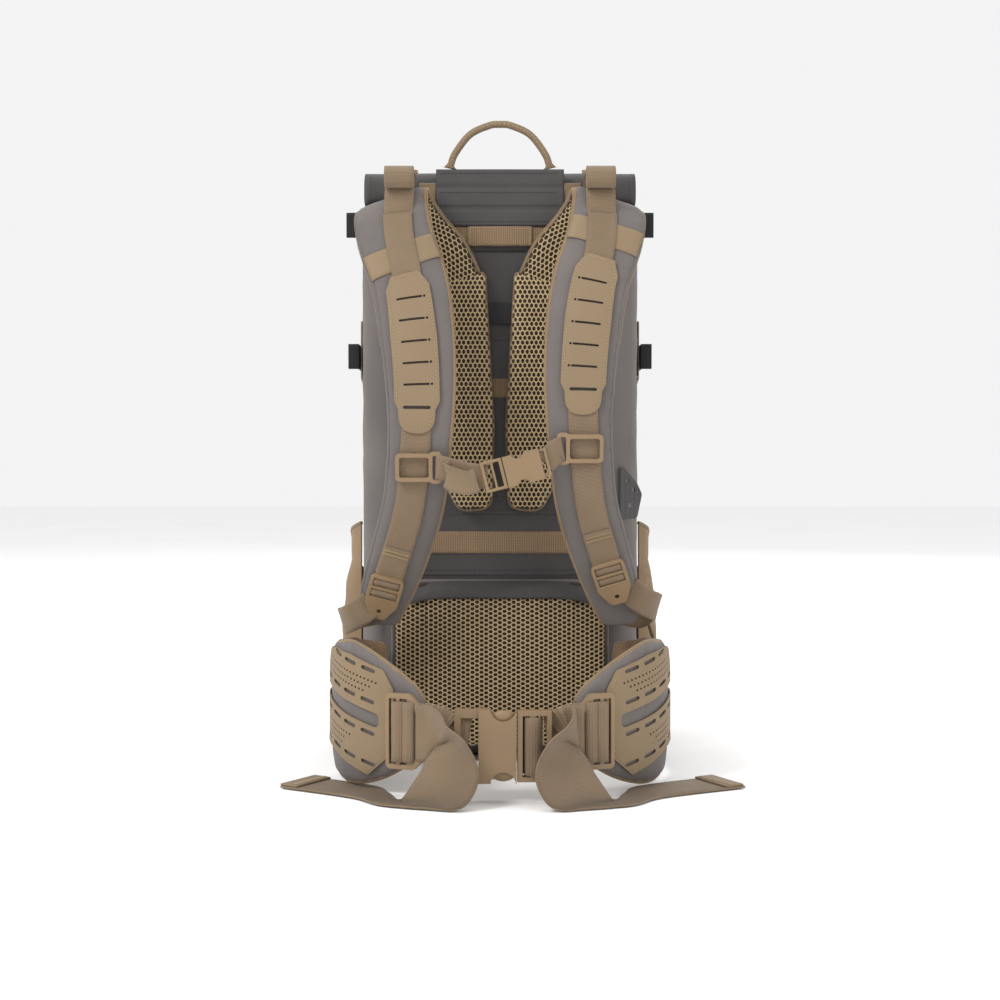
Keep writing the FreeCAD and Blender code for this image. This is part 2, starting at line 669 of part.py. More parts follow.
def make_rear():
    """The outer side: a zipped fabric panel, a slotted panel and two adjusted compression straps."""
    y = BAG_REAR + 0.3
    face = y + 3
    keep("rear_panel", plate(rectangle(-88, 88, 46, 312, y), 24, V(0, face - y, 0)))
    panel = plate(rectangle(-46, 46, 92, 276, face + 0.1), 12, V(0, 1.4, 0))
    for row in range(7):
        for column in (-28, 0, 28):
            z = 106 + row * 26
            panel = panel.cut(block((column - 11, column + 11), (face - 1, face + 3), (z - 1.6, z + 1.6)))
    keep("slotted_panels", panel)
    keep("zipper_tape", block((56, 72), (face + 0.1, face + 1.3), (84, 296)))
    keep("zip_slider", block((59, 69), (face + 1.6, face + 6), (279, 293)))
    keep("zip_pull", plate(rectangle(60.5, 67.5, 250, 278.6, face + 3), 2.5, V(0, 1.6, 0),
                           [(rectangle(62.3, 65.7, 270, 276, face + 3), 1)]))

    corner = V(BAG_HALF - BAG_CORNER, BAG_REAR - BAG_CORNER, 0)
    wrap = [V(corner.x + (BAG_CORNER + 1.6) * math.cos(math.radians(a)),
              corner.y + (BAG_CORNER + 1.6) * math.sin(math.radians(a)), 0) for a in (85, 68, 51, 34, 17, 4)]
    for z, deep in ((66, face + 1.4), (350, BAG_REAR + 1.6)):
        for flip in (mirrored, lambda shape: shape):
            run = [p + Z_AXIS * z for p in [V(17, deep, 0), V(86, deep, 0)] + wrap]
            keep("rear_straps", flip(ribbon(run, [Z_AXIS] * len(run), STRAP_WEB, steps=2)))
        glide = plate(rectangle(-16, 16, -16, 16), 4, V(0, 3, 0),
                      [(rectangle(-12, -3, -13, 13), 1.5), (rectangle(3, 12, -13, 13), 1.5)])
        keep("rear_glides", placed(glide, V(0, deep - 1.0, z), X_AXIS, Y_AXIS, Z_AXIS))


CORD_ROUTE = [
    V(108, -102, 213), V(112, -101.5, 196), V(118, -98, 173), V(126, -95.5, 148), V(134, -93, 122),
    V(143, -91, 96), V(150, -89.5, 71), V(152.5, -87, 48), V(148, -84, 29), V(138, -81, 17), V(127, -79, 13),
]
CORD_RADIUS = 1.5


def make_small_parts():
    keep("pocket_cord", tube(CORD_ROUTE, CORD_RADIUS))
    points = [V(-15, 0, 24), V(8, 0, 6), V(15, 0, -4), V(8, 0, -26), V(-15, 0, -26)]
    tab = plate(points, [3, 5, 5, 4, 3], V(0, 1.6, 0))
    for x, z in ((-6, 8), (3, 0), (-2, -14)):
        tab = tab.cut(Part.makeCylinder(2.2, 6, V(x, -2, z), Y_AXIS))
    outward = unit(V(1, -1, 0))
    corner = V(BAG_HALF - BAG_CORNER, BAG_FRONT + BAG_CORNER, 242)
    spot = corner + outward * (BAG_CORNER + 2.0)
    keep("lash_tab", placed(tab, spot, unit(V(1, 1, 0)), outward * -1, Z_AXIS))


# ---------------------------------------------------------------- build

def main():
    make_bag()
    make_frame()
    make_back_panel()
    make_back_pads()
    for side in ("left", "right"):
        found, flip, up = make_strap(side)
        make_load_lifter(side, flip)
        make_ladder_lock(side, found, flip, up)
        make_sternum(side, found, flip, up)
        make_wing(side)
        make_pocket(side)
    make_sternum_strap()
    make_belt_webbing()
    make_hip_buckle()
    make_handle()
    make_side_straps()
    make_rear()
    make_small_parts()

    os.makedirs("parts", exist_ok=True)
    for name, solids in PARTS.items():
        shape = solids[0] if len(solids) == 1 else Part.makeCompound(solids)
        bad = [s for s in solids if not s.isValid() or s.Volume <= 0]
        print(name, len(solids), round(sum(s.Volume for s in solids)), "BAD" if bad else "ok")
        shape.exportStep(os.path.join("parts", name + ".step"))


main()
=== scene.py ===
"""A hunting backpack seen from its harness side: how its cloth, webbing, foam and plastic look.

Lengths are millimetres, turned into metres only where a mesh or a curve is made. The frame is the
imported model's: +Z up, the harness towards -Y, left is -X. The harness points repeat the model's,
because this script can't read its source.
"""

import json
import math
import random

import bmesh
import bpy
import numpy as np
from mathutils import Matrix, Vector, noise

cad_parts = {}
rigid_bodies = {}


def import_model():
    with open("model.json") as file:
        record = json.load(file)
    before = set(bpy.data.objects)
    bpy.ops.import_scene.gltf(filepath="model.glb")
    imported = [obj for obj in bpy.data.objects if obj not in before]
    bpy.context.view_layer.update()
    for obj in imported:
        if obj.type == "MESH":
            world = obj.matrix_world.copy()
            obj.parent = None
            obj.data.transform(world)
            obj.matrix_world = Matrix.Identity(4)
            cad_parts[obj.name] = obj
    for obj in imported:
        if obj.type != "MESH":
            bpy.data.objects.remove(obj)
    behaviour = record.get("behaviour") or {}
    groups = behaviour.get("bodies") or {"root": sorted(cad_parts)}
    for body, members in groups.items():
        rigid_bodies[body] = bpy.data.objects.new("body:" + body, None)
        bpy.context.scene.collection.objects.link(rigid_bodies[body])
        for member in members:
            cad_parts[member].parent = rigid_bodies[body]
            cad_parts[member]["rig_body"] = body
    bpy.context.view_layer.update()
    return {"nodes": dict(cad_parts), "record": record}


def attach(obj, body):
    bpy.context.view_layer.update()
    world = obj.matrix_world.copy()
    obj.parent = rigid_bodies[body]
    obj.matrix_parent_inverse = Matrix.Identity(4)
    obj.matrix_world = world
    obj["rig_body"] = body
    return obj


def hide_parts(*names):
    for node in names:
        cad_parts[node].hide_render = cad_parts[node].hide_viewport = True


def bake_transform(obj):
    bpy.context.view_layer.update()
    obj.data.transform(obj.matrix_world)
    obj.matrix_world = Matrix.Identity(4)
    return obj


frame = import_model()
NODES = frame["nodes"]
rng = random.Random(7)

MM = 0.001
X = np.array([1.0, 0, 0])
Y = np.array([0, 1.0, 0])
Z = np.array([0, 0, 1.0])
SIDES = (("left", -1), ("right", 1))


# ---------------------------------------------------------------- camera and cord

CAMERA = (0, -1600, 269)
HORIZON_DROP = math.atan2(40, 1667)

data = bpy.data.cameras.new("camera")
data.lens = 60
data.sensor_width = 36
camera = bpy.data.objects.new("camera", data)
camera.location = [c * MM for c in CAMERA]
camera.rotation_euler = (math.pi / 2 - HORIZON_DROP, 0, 0)
bpy.context.scene.collection.objects.link(camera)
bpy.context.scene.camera = camera
bpy.context.scene.view_settings.view_transform = "Standard"

CORD_ROUTE = [
    (108, -102, 213), (112, -101.5, 196), (118, -98, 173), (126, -95.5, 148), (134, -93, 122),
    (143, -91, 96), (150, -89.5, 71), (152.5, -87, 48), (148, -84, 29), (138, -81, 17), (127, -79, 13),
]
CORD_DIAMETER = 3.0


# a curve's bounding box grows by its points' radius, so they are kept small and the bevel is larger
CORD_POINT_RADIUS = 0.001


def make_cord():
    curve = bpy.data.curves.new("pocket_cord_line", "CURVE")
    curve.dimensions = "3D"
    spline = curve.splines.new("NURBS")
    spline.points.add(len(CORD_ROUTE) - 1)
    for point, where in zip(spline.points, CORD_ROUTE):
        point.co = [c * MM for c in where] + [1]
        point.radius = CORD_POINT_RADIUS
    spline.order_u = 3
    spline.use_endpoint_u = True
    curve.bevel_depth = CORD_DIAMETER / 2 * MM / CORD_POINT_RADIUS
    curve.bevel_resolution = 4
    curve.resolution_u = 12
    cord = bpy.data.objects.new("pocket_cord_line", curve)
    bpy.context.scene.collection.objects.link(cord)
    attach(cord, "pack")
    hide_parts("pocket_cord")
    return cord


cord_piece = make_cord()


# ---------------------------------------------------------------- materials

def linear(rgb):
    """Linear colour from 0-255 display values."""
    return [((c / 255) / 12.92 if c <= 10 else (((c / 255) + 0.055) / 1.055) ** 2.4) for c in rgb] + [1.0]


class Shader:
    """A small wrapper that adds nodes to one material."""

    def __init__(self, name, roughness=0.8, sheen=0.0, specular=0.5, metallic=0.0, coat=0.0):
        self.material = bpy.data.materials.new(name)
        self.material.use_nodes = True
        self.tree = self.material.node_tree
        self.bsdf = self.tree.nodes["Principled BSDF"]
        self.bsdf.inputs["Roughness"].default_value = roughness
        self.bsdf.inputs["Specular IOR Level"].default_value = specular
        self.bsdf.inputs["Metallic"].default_value = metallic
        self.bsdf.inputs["Sheen Weight"].default_value = sheen
        self.bsdf.inputs["Sheen Roughness"].default_value = 0.4
        self.bsdf.inputs["Coat Weight"].default_value = coat
        self.bsdf.inputs["Coat Roughness"].default_value = 0.3
        self.bump = None

    def node(self, kind, inputs=None, **settings):
        made = self.tree.nodes.new(kind)
        for key, value in settings.items():
            setattr(made, key, value)
        for key, value in (inputs or {}).items():
            if isinstance(value, bpy.types.NodeSocket):
                self.tree.links.new(value, made.inputs[key])
            else:
                made.inputs[key].default_value = value
        return made

    def coordinates(self, kind="Object", scale=(1, 1, 1), turn=0.0):
        source = self.node("ShaderNodeTexCoord").outputs[kind]
        mapping = self.node("ShaderNodeMapping", {"Vector": source, "Scale": scale, "Rotation": (0, 0, turn)})
        return mapping.outputs["Vector"]

    def noise(self, scale, kind="Object", detail=3.0, stretch=(1, 1, 1)):
        where = self.coordinates(kind, stretch)
        inputs = {"Vector": where, "Scale": scale, "Detail": detail}
        return self.node("ShaderNodeTexNoise", inputs).outputs["Fac"]

    def wave(self, period, direction, kind="UV", turn=0.0):
        """Soft stripes whose period is in millimetres."""
        where = self.coordinates(kind, turn=turn)
        made = self.node("ShaderNodeTexWave", {"Vector": where, "Scale": 0.1 * math.pi / (period * MM)},
                         wave_type="BANDS", bands_direction=direction, wave_profile="SIN")
        return made.outputs["Fac"]

    def math(self, operation, a, b):
        return self.node("ShaderNodeMath", {0: a, 1: b}, operation=operation).outputs[0]

    def ramp(self, fac, stops):
        made = self.node("ShaderNodeValToRGB", {"Fac": fac})
        ramp = made.color_ramp
        while len(ramp.elements) < len(stops):
            ramp.elements.new(0.5)
        for element, (place, colour) in zip(ramp.elements, stops):
            element.position = place
            element.color = colour
        return made.outputs["Color"]

    def mix(self, fac, a, b, blend="MIX"):
        made = self.node("ShaderNodeMix", data_type="RGBA", blend_type=blend)
        for key, value in ((0, fac), (6, a), (7, b)):
            if isinstance(value, bpy.types.NodeSocket):
                self.tree.links.new(value, made.inputs[key])
            else:
                made.inputs[key].default_value = value
        return made.outputs[2]

    def colour(self, socket):
        self.tree.links.new(socket, self.bsdf.inputs["Base Color"])

    def roughness(self, fac, low, high):
        spread = self.node("ShaderNodeMapRange", {"Value": fac, "To Min": low, "To Max": high})
        self.tree.links.new(spread.outputs[0], self.bsdf.inputs["Roughness"])

    def bumps(self, height, distance, strength=1.0):
        inputs = {"Height": height, "Distance": distance * MM, "Strength": strength}
        if self.bump:
            inputs["Normal"] = self.bump
        self.bump = self.node("ShaderNodeBump", inputs).outputs["Normal"]
        self.tree.links.new(self.bump, self.bsdf.inputs["Normal"])


def toned(rgb, gain):
    return linear([min(255, c * gain) for c in rgb])


def webbing_material(name, rgb, rib=1.15, sheen=0.15, rough=0.62):
    """Woven tape: cross ribs and finer lengthwise yarns, by its own length and width."""
    s = Shader(name, roughness=rough, sheen=sheen, specular=0.35)
    ribs = s.wave(rib, "Y")
    yarns = s.wave(0.9, "X")
    twill = s.wave(1.6, "X", turn=0.9)
    weave = s.math("MULTIPLY", ribs, s.math("MAXIMUM", yarns, twill))
    patch = s.noise(28, detail=5)
    base = s.mix(weave, toned(rgb, 0.58), toned(rgb, 1.12))
    s.colour(s.mix(patch, base, toned(rgb, 0.93), "MIX"))
    s.roughness(patch, rough - 0.08, rough + 0.1)
    s.bumps(weave, 0.4)
    return s.material


# cloth yarns run at this angle across the pack, so the same weave shows on its front and its sides
CLOTH_TURN = math.radians(40)


def cloth_material(name, rgb, pitch=0.55, sheen=0.12, rough=0.72, depth=0.12, mottled=0.10, specular=0.3):
    """Plain woven cloth with slow changes of tone, placed by where the surface is."""
    s = Shader(name, roughness=rough, sheen=sheen, specular=specular)
    rows = s.wave(pitch, "Z", kind="Object")
    columns = s.wave(pitch, "X", kind="Object", turn=CLOTH_TURN)
    threads = s.math("MULTIPLY", rows, columns)
    fuzz = s.noise(900, detail=2)
    slow = s.noise(14, detail=4)
    base = s.mix(threads, toned(rgb, 0.90), toned(rgb, 1.05))
    tones = s.ramp(slow, [(0.3, toned((255, 255, 255), 1 - mottled)), (0.7, linear((255, 255, 255)))])
    s.colour(s.mix(1.0, base, tones, "MULTIPLY"))
    s.roughness(slow, rough - 0.06, rough + 0.06)
    s.bumps(threads, depth)
    s.bumps(fuzz, depth * 0.8)
    s.bumps(slow, 1.6, 0.25)
    return s.material


def laminate_material(name, rgb):
    """Coated laser-cut cloth: a fine pebbled skin."""
    s = Shader(name, roughness=0.6, specular=0.35)
    where = s.coordinates("Object")
    grain = s.node("ShaderNodeTexVoronoi", {"Vector": where, "Scale": 1500}).outputs["Distance"]
    slow = s.noise(20, detail=4)
    s.colour(s.mix(slow, toned(rgb, 0.94), toned(rgb, 1.04)))
    s.roughness(slow, 0.52, 0.68)
    s.bumps(grain, 0.08)
    s.bumps(slow, 0.8, 0.2)
    return s.material


def plastic_material(name, rgb, rough=0.42):
    """Moulded nylon with a fine spark-eroded grain and slightly rubbed tone."""
    s = Shader(name, roughness=rough, specular=0.5)
    grain = s.noise(1800, detail=2)
    slow = s.noise(35, detail=5)
    s.colour(s.mix(slow, toned(rgb, 0.93), toned(rgb, 1.06)))
    s.roughness(slow, rough - 0.06, rough + 0.08)
    s.bumps(grain, 0.04)
    return s.material


def net_material(name, rgb):
    """The yarn of the spacer mesh, fuzzy and twisted."""
    s = Shader(name, roughness=0.75, sheen=0.25, specular=0.25)
    strands = s.noise(2600, detail=2)
    slow = s.noise(45, detail=3)
    base = s.mix(strands, toned(rgb, 0.72), toned(rgb, 1.08))
    s.colour(s.mix(slow, base, toned(rgb, 0.9)))
    s.bumps(strands, 0.12)
    return s.material


TAN_WEB = (152, 129, 102)
GREY = (122, 115, 112)
CHARCOAL = (82, 79, 79)

M = {
    "webbing": webbing_material("tan_webbing", TAN_WEB),
    "ladder": webbing_material("ribbed_webbing", (158, 131, 101), rib=2.0),
    "cord": webbing_material("tan_cord", (126, 108, 78)),
    "black_webbing": webbing_material("black_webbing", (40, 41, 44)),
    "dark_webbing": webbing_material("charcoal_webbing", (64, 63, 65)),
    "grey": cloth_material("grey_ripstop", GREY),
    "charcoal": cloth_material("charcoal_laminate", CHARCOAL, sheen=0.05, rough=0.62, depth=0.07),
    "lining": cloth_material("dark_lining", (58, 48, 36), pitch=0.8, rough=0.9),
    "knit": cloth_material("tan_knit", (138, 113, 86), pitch=1.3, sheen=0.25, depth=0.3),
    "tan_cloth": cloth_material("tan_stretch", (152, 127, 98), pitch=0.7, sheen=0.2),
    "laminate": laminate_material("tan_laminate", (136, 116, 90)),
    "plastic": plastic_material("tan_plastic", (138, 114, 84)),
    "black_plastic": plastic_material("black_plastic", (36, 36, 38)),
    "frame_plastic": plastic_material("frame_sheet_plastic", (60, 60, 62)),
    "net": net_material("net_yarn", (205, 180, 140)),
    "thread": cloth_material("tan_thread", (198, 172, 130), pitch=0.4, rough=0.6),
    "dark_thread": cloth_material("dark_thread", (52, 51, 53), pitch=0.4, rough=0.6),
}
stay = Shader("stay_aluminium", roughness=0.35, metallic=1.0)
stay.colour(stay.mix(stay.noise(300, stretch=(1, 1, 0.05)), linear((170, 170, 172)), linear((205, 205, 208))))
M["metal"] = stay.material
cord_piece.data.materials.append(M["cord"])


# ---------------------------------------------------------------- shape helpers

def unit(v):
    v = np.asarray(v, float)
    return v / np.linalg.norm(v, axis=-1, keepdims=True)


def smoothed(points, steps):
    """Rows of numbers with a Catmull-Rom curve's rows between them."""
    points = np.asarray(points, float)
    last = len(points) - 1
    rows = []
    for i in range(last):
        p0, p1, p2, p3 = (points[min(max(k, 0), last)] for k in (i - 1, i, i + 1, i + 2))
        for t in np.arange(steps) / steps:
            rows.append(0.5 * (2 * p1 + (p2 - p0) * t + (2 * p0 - 5 * p1 + 4 * p2 - p3) * t ** 2
                               + (3 * p1 - p0 - 3 * p2 + p3) * t ** 3))
    return np.array(rows + [points[last]])


def framed(centres, acrosses):
    """(centres, acrosses, normals) with each across square to the path."""
    tangent = unit(np.gradient(centres, axis=0))
    across = unit(acrosses - tangent * np.sum(acrosses * tangent, axis=1, keepdims=True))
    return centres, across, unit(np.cross(tangent, across))


def lengths(centres):
    """Distance along a path at each of its points."""
    return np.concatenate([[0], np.cumsum(np.linalg.norm(np.diff(centres, axis=0), axis=1))])


def at(d, along, path):
    """A path's row at a distance d; along gives the distance at each of its rows."""
    return np.array([np.interp(d, along, path[:, k]) for k in range(3)])


def flipped(points, sign):
    """Points built for the left side, or their mirror images."""
    points = np.array(points, float)
    if sign > 0:
        points[..., 0] *= -1
    return points


def piece(name, vertices, faces, material, body="pack", uvs=None, smooth=True, stands_for=(), slot=None,
          face_slots=None):
    """A mesh in millimetres as a piece that rides on a body. uvs gives one pair a vertex."""
    mesh = bpy.data.meshes.new(name)
    mesh.from_pydata((np.asarray(vertices) * MM).tolist(), [], [tuple(int(i) for i in f) for f in faces])
    if uvs is not None:
        layer = mesh.uv_layers.new(name="UVMap")
        corner = np.zeros(len(mesh.loops), np.int32)
        mesh.loops.foreach_get("vertex_index", corner)
        layer.data.foreach_set("uv", (np.asarray(uvs)[corner] * MM).astype(np.float32).ravel())
    for m in material if isinstance(material, (list, tuple)) else [material]:
        mesh.materials.append(M[m])
    if face_slots is not None:
        mesh.polygons.foreach_set("material_index", np.asarray(face_slots, np.int32))
    mesh.polygons.foreach_set("use_smooth", [smooth] * len(mesh.polygons))
    bm = bmesh.new()
    bm.from_mesh(mesh)
    bmesh.ops.recalc_face_normals(bm, faces=bm.faces)
    bm.to_mesh(mesh)
    bm.free()
    made = bpy.data.objects.new(name, mesh)
    bpy.context.scene.collection.objects.link(made)
    if body:
        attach(made, body)
    if stands_for:
        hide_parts(*stands_for)
    return made


def rings(n, m):
    """Faces between n closed rings of m vertices, each joined to the next."""
    return [(i * m + j, i * m + (j + 1) % m, (i + 1) * m + (j + 1) % m, (i + 1) * m + j)
            for i in range(n - 1) for j in range(m)]


def ring_end(n, m):
    """The face that closes the last of n rings."""
    return tuple(range((n - 1) * m, n * m))


def sweep(centres, acrosses, normals, loops):
    """Vertices, faces and uvs of a closed section carried along a path."""
    n, m = loops.shape[:2]
    spread = centres[:, None] + acrosses[:, None] * loops[..., :1]
    vertices = (spread + normals[:, None] * loops[..., 1:]).reshape(-1, 3)
    uvs = np.stack([loops[..., 0], np.repeat(lengths(centres)[:, None], m, 1)], -1).reshape(-1, 2)
    return vertices, rings(n, m) + [tuple(range(m))[::-1], ring_end(n, m)], uvs


def tape_loop(width, thick, cuts=8):
    """A flat tape's section, its edges rounded."""
    half = width / 2
    across = np.linspace(-half + thick * 0.3, half - thick * 0.3, cuts + 1)
    front = [(u, thick / 2) for u in across]
    back = [(u, -thick / 2) for u in across[::-1]]
    return np.array(front + [(half, 0)] + back + [(-half, 0)])


# the record's slot for a tape whose material has another name
TAPE_SLOTS = {"ladder": "webbing", "dark_webbing": "black_webbing"}


def ribbon(name, points, acrosses, width, material="webbing", body="pack", thick=1.8, steps=8, sign=-1,
           stands_for=()):
    """A webbing strap along a path. acrosses is one direction, or one a point."""
    acrosses = np.broadcast_to(acrosses, np.shape(points))
    centres = smoothed(flipped(points, sign), steps)
    frame3 = framed(centres, smoothed(flipped(acrosses, sign), steps))
    loops = np.repeat(tape_loop(width, thick)[None], len(centres), 0)
    vertices, faces, uvs = sweep(*frame3, loops)
    return piece(name, vertices, faces, material, body, uvs, stands_for=stands_for,
                 slot=TAPE_SLOTS.get(material, material))


def tube_mesh(points, radius, sides=8):
    """Vertices, faces and uvs of a round tube through points, closed at both ends."""
    points = np.asarray(points, float)
    tangent = unit(np.gradient(points, axis=0))
    guide = np.where(np.abs(tangent[:, 2:3]) < 0.9, Z[None], X[None])
    across = unit(np.cross(tangent, guide))
    for i in range(1, len(across)):
        carried = across[i - 1] - tangent[i] * np.dot(across[i - 1], tangent[i])
        across[i] = unit(carried)
    normal = np.cross(tangent, across)
    angles = np.arange(sides) / sides * 2 * math.pi
    ring = np.stack([np.cos(angles), np.sin(angles)], 1) * radius
    return sweep(points, across, normal, np.repeat(ring[None], len(points), 0))


def tube_piece(name, points, radius, material, body="pack", **extra):
    """A round tube through points, as a piece."""
    v, f, u = tube_mesh(points, radius)
    return piece(name, v, f, material, body, u, **extra)


def joined(parts):
    """Several (vertices, faces, uvs) as one."""
    vertices, faces, uvs, base = [], [], [], 0
    for v, f, u in parts:
        vertices.append(v)
        uvs.append(u)
        faces += [tuple(i + base for i in face) for face in f]
        base += len(v)
    return np.concatenate(vertices), faces, np.concatenate(uvs)


def running(path, normals, length=2.6, gap=1.3):
    """The ends and normal of each stitch in a row along a path. normals is one, or one a point."""
    along = lengths(path)
    normals = np.broadcast_to(normals, path.shape)
    found = []
    for start in np.arange(0.5, along[-1] - length, length + gap):
        normal = unit(at(start + length / 2, along, normals))
        found.append((at(start, along, path), at(start + length, along, path), normal))
    return found


def zigzag(path, normals, width=4.0, pitch=1.4):
    """The legs of a zigzag stitch along a path. normals is one, or one a point."""
    along = lengths(path)
    normals = np.broadcast_to(normals, path.shape)
    corners = []
    for i, d in enumerate(np.arange(0, along[-1], pitch)):
        p, q = (at(e, along, path) for e in (d, d + 0.5))
        normal = unit(at(d, along, normals))
        side = np.cross(unit(q - p + 1e-9), normal)
        corners.append((p + side * width * (0.5 if i % 2 else -0.5), normal))
    return [(a[0], b[0], a[1]) for a, b in zip(corners, corners[1:])]


THREAD_SHAPE = np.array([[1, 0, 0], [-1, 0, 0], [0, 1, 0], [0, -1, 0], [0, 0, 1], [0, 0, -1]], float)
THREAD_FACES = [(0, 2, 4), (2, 1, 4), (1, 3, 4), (3, 0, 4), (2, 0, 5), (1, 2, 5), (3, 1, 5), (0, 3, 5)]


def threads(name, legs, body="pack", material="thread", radius=0.42, lift=0.15):
    """Sewing thread: one small spindle for each stitch."""
    parts = []
    for a, b, normal in legs:
        tangent = unit(b - a)
        side = np.cross(tangent, normal)
        scale = np.array([[np.linalg.norm(b - a) / 2, radius, radius]]) * THREAD_SHAPE
        v = (a + b) / 2 + normal * lift + scale @ np.array([tangent, side, normal])
        parts.append((v, THREAD_FACES, v[:, :2]))
    vertices, faces, uvs = joined(parts)
    return piece(name, vertices, faces, material, body, uvs, smooth=False)


def rounded_copy(node, material, radius=0.5, segments=2, body=None):
    """A CAD node's own shape with its edges rounded over, standing for the node."""
    source = NODES[node]
    bm = bmesh.new()
    bm.from_mesh(source.data)
    bmesh.ops.remove_doubles(bm, verts=bm.verts, dist=1e-6)
    bmesh.ops.dissolve_limit(bm, angle_limit=math.radians(3), verts=bm.verts, edges=bm.edges)
    sharp = [e for e in bm.edges if len(e.link_faces) == 2 and e.calc_face_angle(0) > math.radians(32)]
    bmesh.ops.bevel(bm, geom=sharp, offset=radius * MM, offset_type="OFFSET", segments=segments, profile=0.5,
                    affect="EDGES", clamp_overlap=True)
    mesh = bpy.data.meshes.new(node + "_moulded")
    bm.to_mesh(mesh)
    bm.free()
    mesh.materials.append(M[material])
    mesh.polygons.foreach_set("use_smooth", [True] * len(mesh.polygons))
    made = bpy.data.objects.new(node + "_moulded", mesh)
    bpy.context.scene.collection.objects.link(made)
    modifier = made.modifiers.new("flat_faces", "WEIGHTED_NORMAL")
    modifier.keep_sharp = True
    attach(made, body or source["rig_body"])
    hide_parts(node)
    return made


NET_PITCH = (4.06, 4.0)
NET_HOLE = (2.2, 1.5)
NET_DEPTH = 1.1
NET_JITTER = 0.12
RIM_DROP = 0.22
HEXAGON = [(2 / 3, 0), (1 / 3, 0.5), (-1 / 3, 0.5), (-2 / 3, 0), (-1 / 3, -0.5), (1 / 3, -0.5)]
SIXTHS = [(math.cos(k * math.pi / 3), math.sin(k * math.pi / 3)) for k in range(6)]


def net(name, place, size, inside, turned=False):
    """Real spacer mesh: a sheet of yarn with staggered holes, over a surface.

    place(u, v) gives the surface point and its normal in millimetres. size is the two extents.
    The holes are long along u, or along v when turned.
    """
    if turned:
        size = size[::-1]
    columns = int(size[0] / NET_PITCH[0]) + 1
    rows = int(size[1] / NET_PITCH[1]) + 1
    corners = {}
    flat = []
    drop = []
    faces = []

    def spot(u, v):
        return (v, u) if turned else (u, v)

    def vertex(u, v, down, shared=False):
        key = (round(u * 20), round(v * 20)) if shared else None
        if shared and key in corners:
            return corners[key]
        flat.append((u, v))
        drop.append(down)
        if shared:
            corners[key] = len(flat) - 1
        return len(flat) - 1

    for i in range(columns):
        for j in range(rows):
            cu = (i - (columns - 1) / 2) * NET_PITCH[0]
            cv = (j - (rows - 1) / 2 + (0.5 if i % 2 else 0)) * NET_PITCH[1]
            if not inside(*spot(cu, cv)):
                continue
            hu = cu + rng.uniform(-NET_JITTER, NET_JITTER)
            hv = cv + rng.uniform(-NET_JITTER, NET_JITTER)
            outer = [vertex(cu + a * NET_PITCH[0], cv + b * NET_PITCH[1], 0.0, True) for a, b in HEXAGON]
            rim, wall = ([vertex(hu + c * NET_HOLE[0] * wide, hv + s * NET_HOLE[1] * high, down)
                          for c, s in SIXTHS]
                         for wide, high, down in ((1, 1.15, RIM_DROP), (0.94, 1.08, NET_DEPTH)))
            for k in range(6):
                n = (k + 1) % 6
                faces.append((outer[k], outer[n], rim[n], rim[k]))
                faces.append((rim[k], rim[n], wall[n], wall[k]))
    vertices = []
    for (u, v), down in zip(flat, drop):
        point, normal = place(*spot(u, v))
        vertices.append(point + normal * (NET_DEPTH - down))
    return piece(name, vertices, faces, "net", "pack", np.array(flat), slot="mesh")


def cut_panel(name, outline, holes, place, body, material="laminate", thick=1.2, grid=4.0, **extra):
    """A laser-cut sheet: drawn flat with its holes, then laid over a surface and given thickness."""
    curve = bpy.data.curves.new(name + "_flat", "CURVE")
    curve.dimensions = "2D"
    curve.fill_mode = "BOTH"
    for points in [outline] + holes:
        spline = curve.splines.new("POLY")
        spline.points.add(len(points) - 1)
        for p, (u, v) in zip(spline.points, points):
            p.co = (u, v, 0, 1)
        spline.use_cyclic_u = True
    drawn = bpy.data.objects.new(name + "_flat", curve)
    flat = bpy.data.meshes.new_from_object(drawn)
    bm = bmesh.new()
    bm.from_mesh(flat)
    bmesh.ops.remove_doubles(bm, verts=bm.verts, dist=1e-4)
    outline = np.array(outline)
    for axis in (0, 1):
        low, high = outline[:, axis].min(), outline[:, axis].max()
        normal = (1, 0, 0) if axis == 0 else (0, 1, 0)
        for cut in np.arange(low + grid, high, grid):
            where = (cut, 0, 0) if axis == 0 else (0, cut, 0)
            everything = bm.verts[:] + bm.edges[:] + bm.faces[:]
            bmesh.ops.bisect_plane(bm, geom=everything, plane_co=where, plane_no=normal)
    bmesh.ops.triangulate(bm, faces=bm.faces)
    bm.verts.ensure_lookup_table()
    bm.verts.index_update()
    uvs = np.array([(v.co.x, v.co.y) for v in bm.verts])
    count = len(uvs)
    top = []
    under = []
    for u, v in uvs:
        point, normal = place(u, v)
        top.append(point + normal * thick)
        under.append(point)
    faces = [tuple(v.index for v in f.verts) for f in bm.faces]
    walls = []
    for e in bm.edges:
        if len(e.link_faces) == 1:
            a, b = (v.index for v in e.verts)
            walls.append((a, b, b + count, a + count))
    bm.free()
    bpy.data.objects.remove(drawn)
    bpy.data.curves.remove(curve)
    bpy.data.meshes.remove(flat)
    all_faces = faces + [tuple(i + count for i in f[::-1]) for f in faces] + walls
    made = piece(name, np.array(top + under), all_faces, material, body, np.concatenate([uvs, uvs]), **extra)
    made.data.set_sharp_from_angle(angle=math.radians(40))
    return made


def rounded_slot(u, v, length, height, turn=0.0, arc=5):
    """A slot's outline with round ends."""
    r = height / 2
    points = []
    for sign in (1, -1):
        for k in range(arc + 1):
            a = -math.pi / 2 + math.pi * k / arc
            points.append((sign * (length / 2 - r + math.cos(a) * r), sign * math.sin(a) * r))
    c, s = math.cos(turn), math.sin(turn)
    return [(u + a * c - b * s, v + a * s + b * c) for a, b in points]


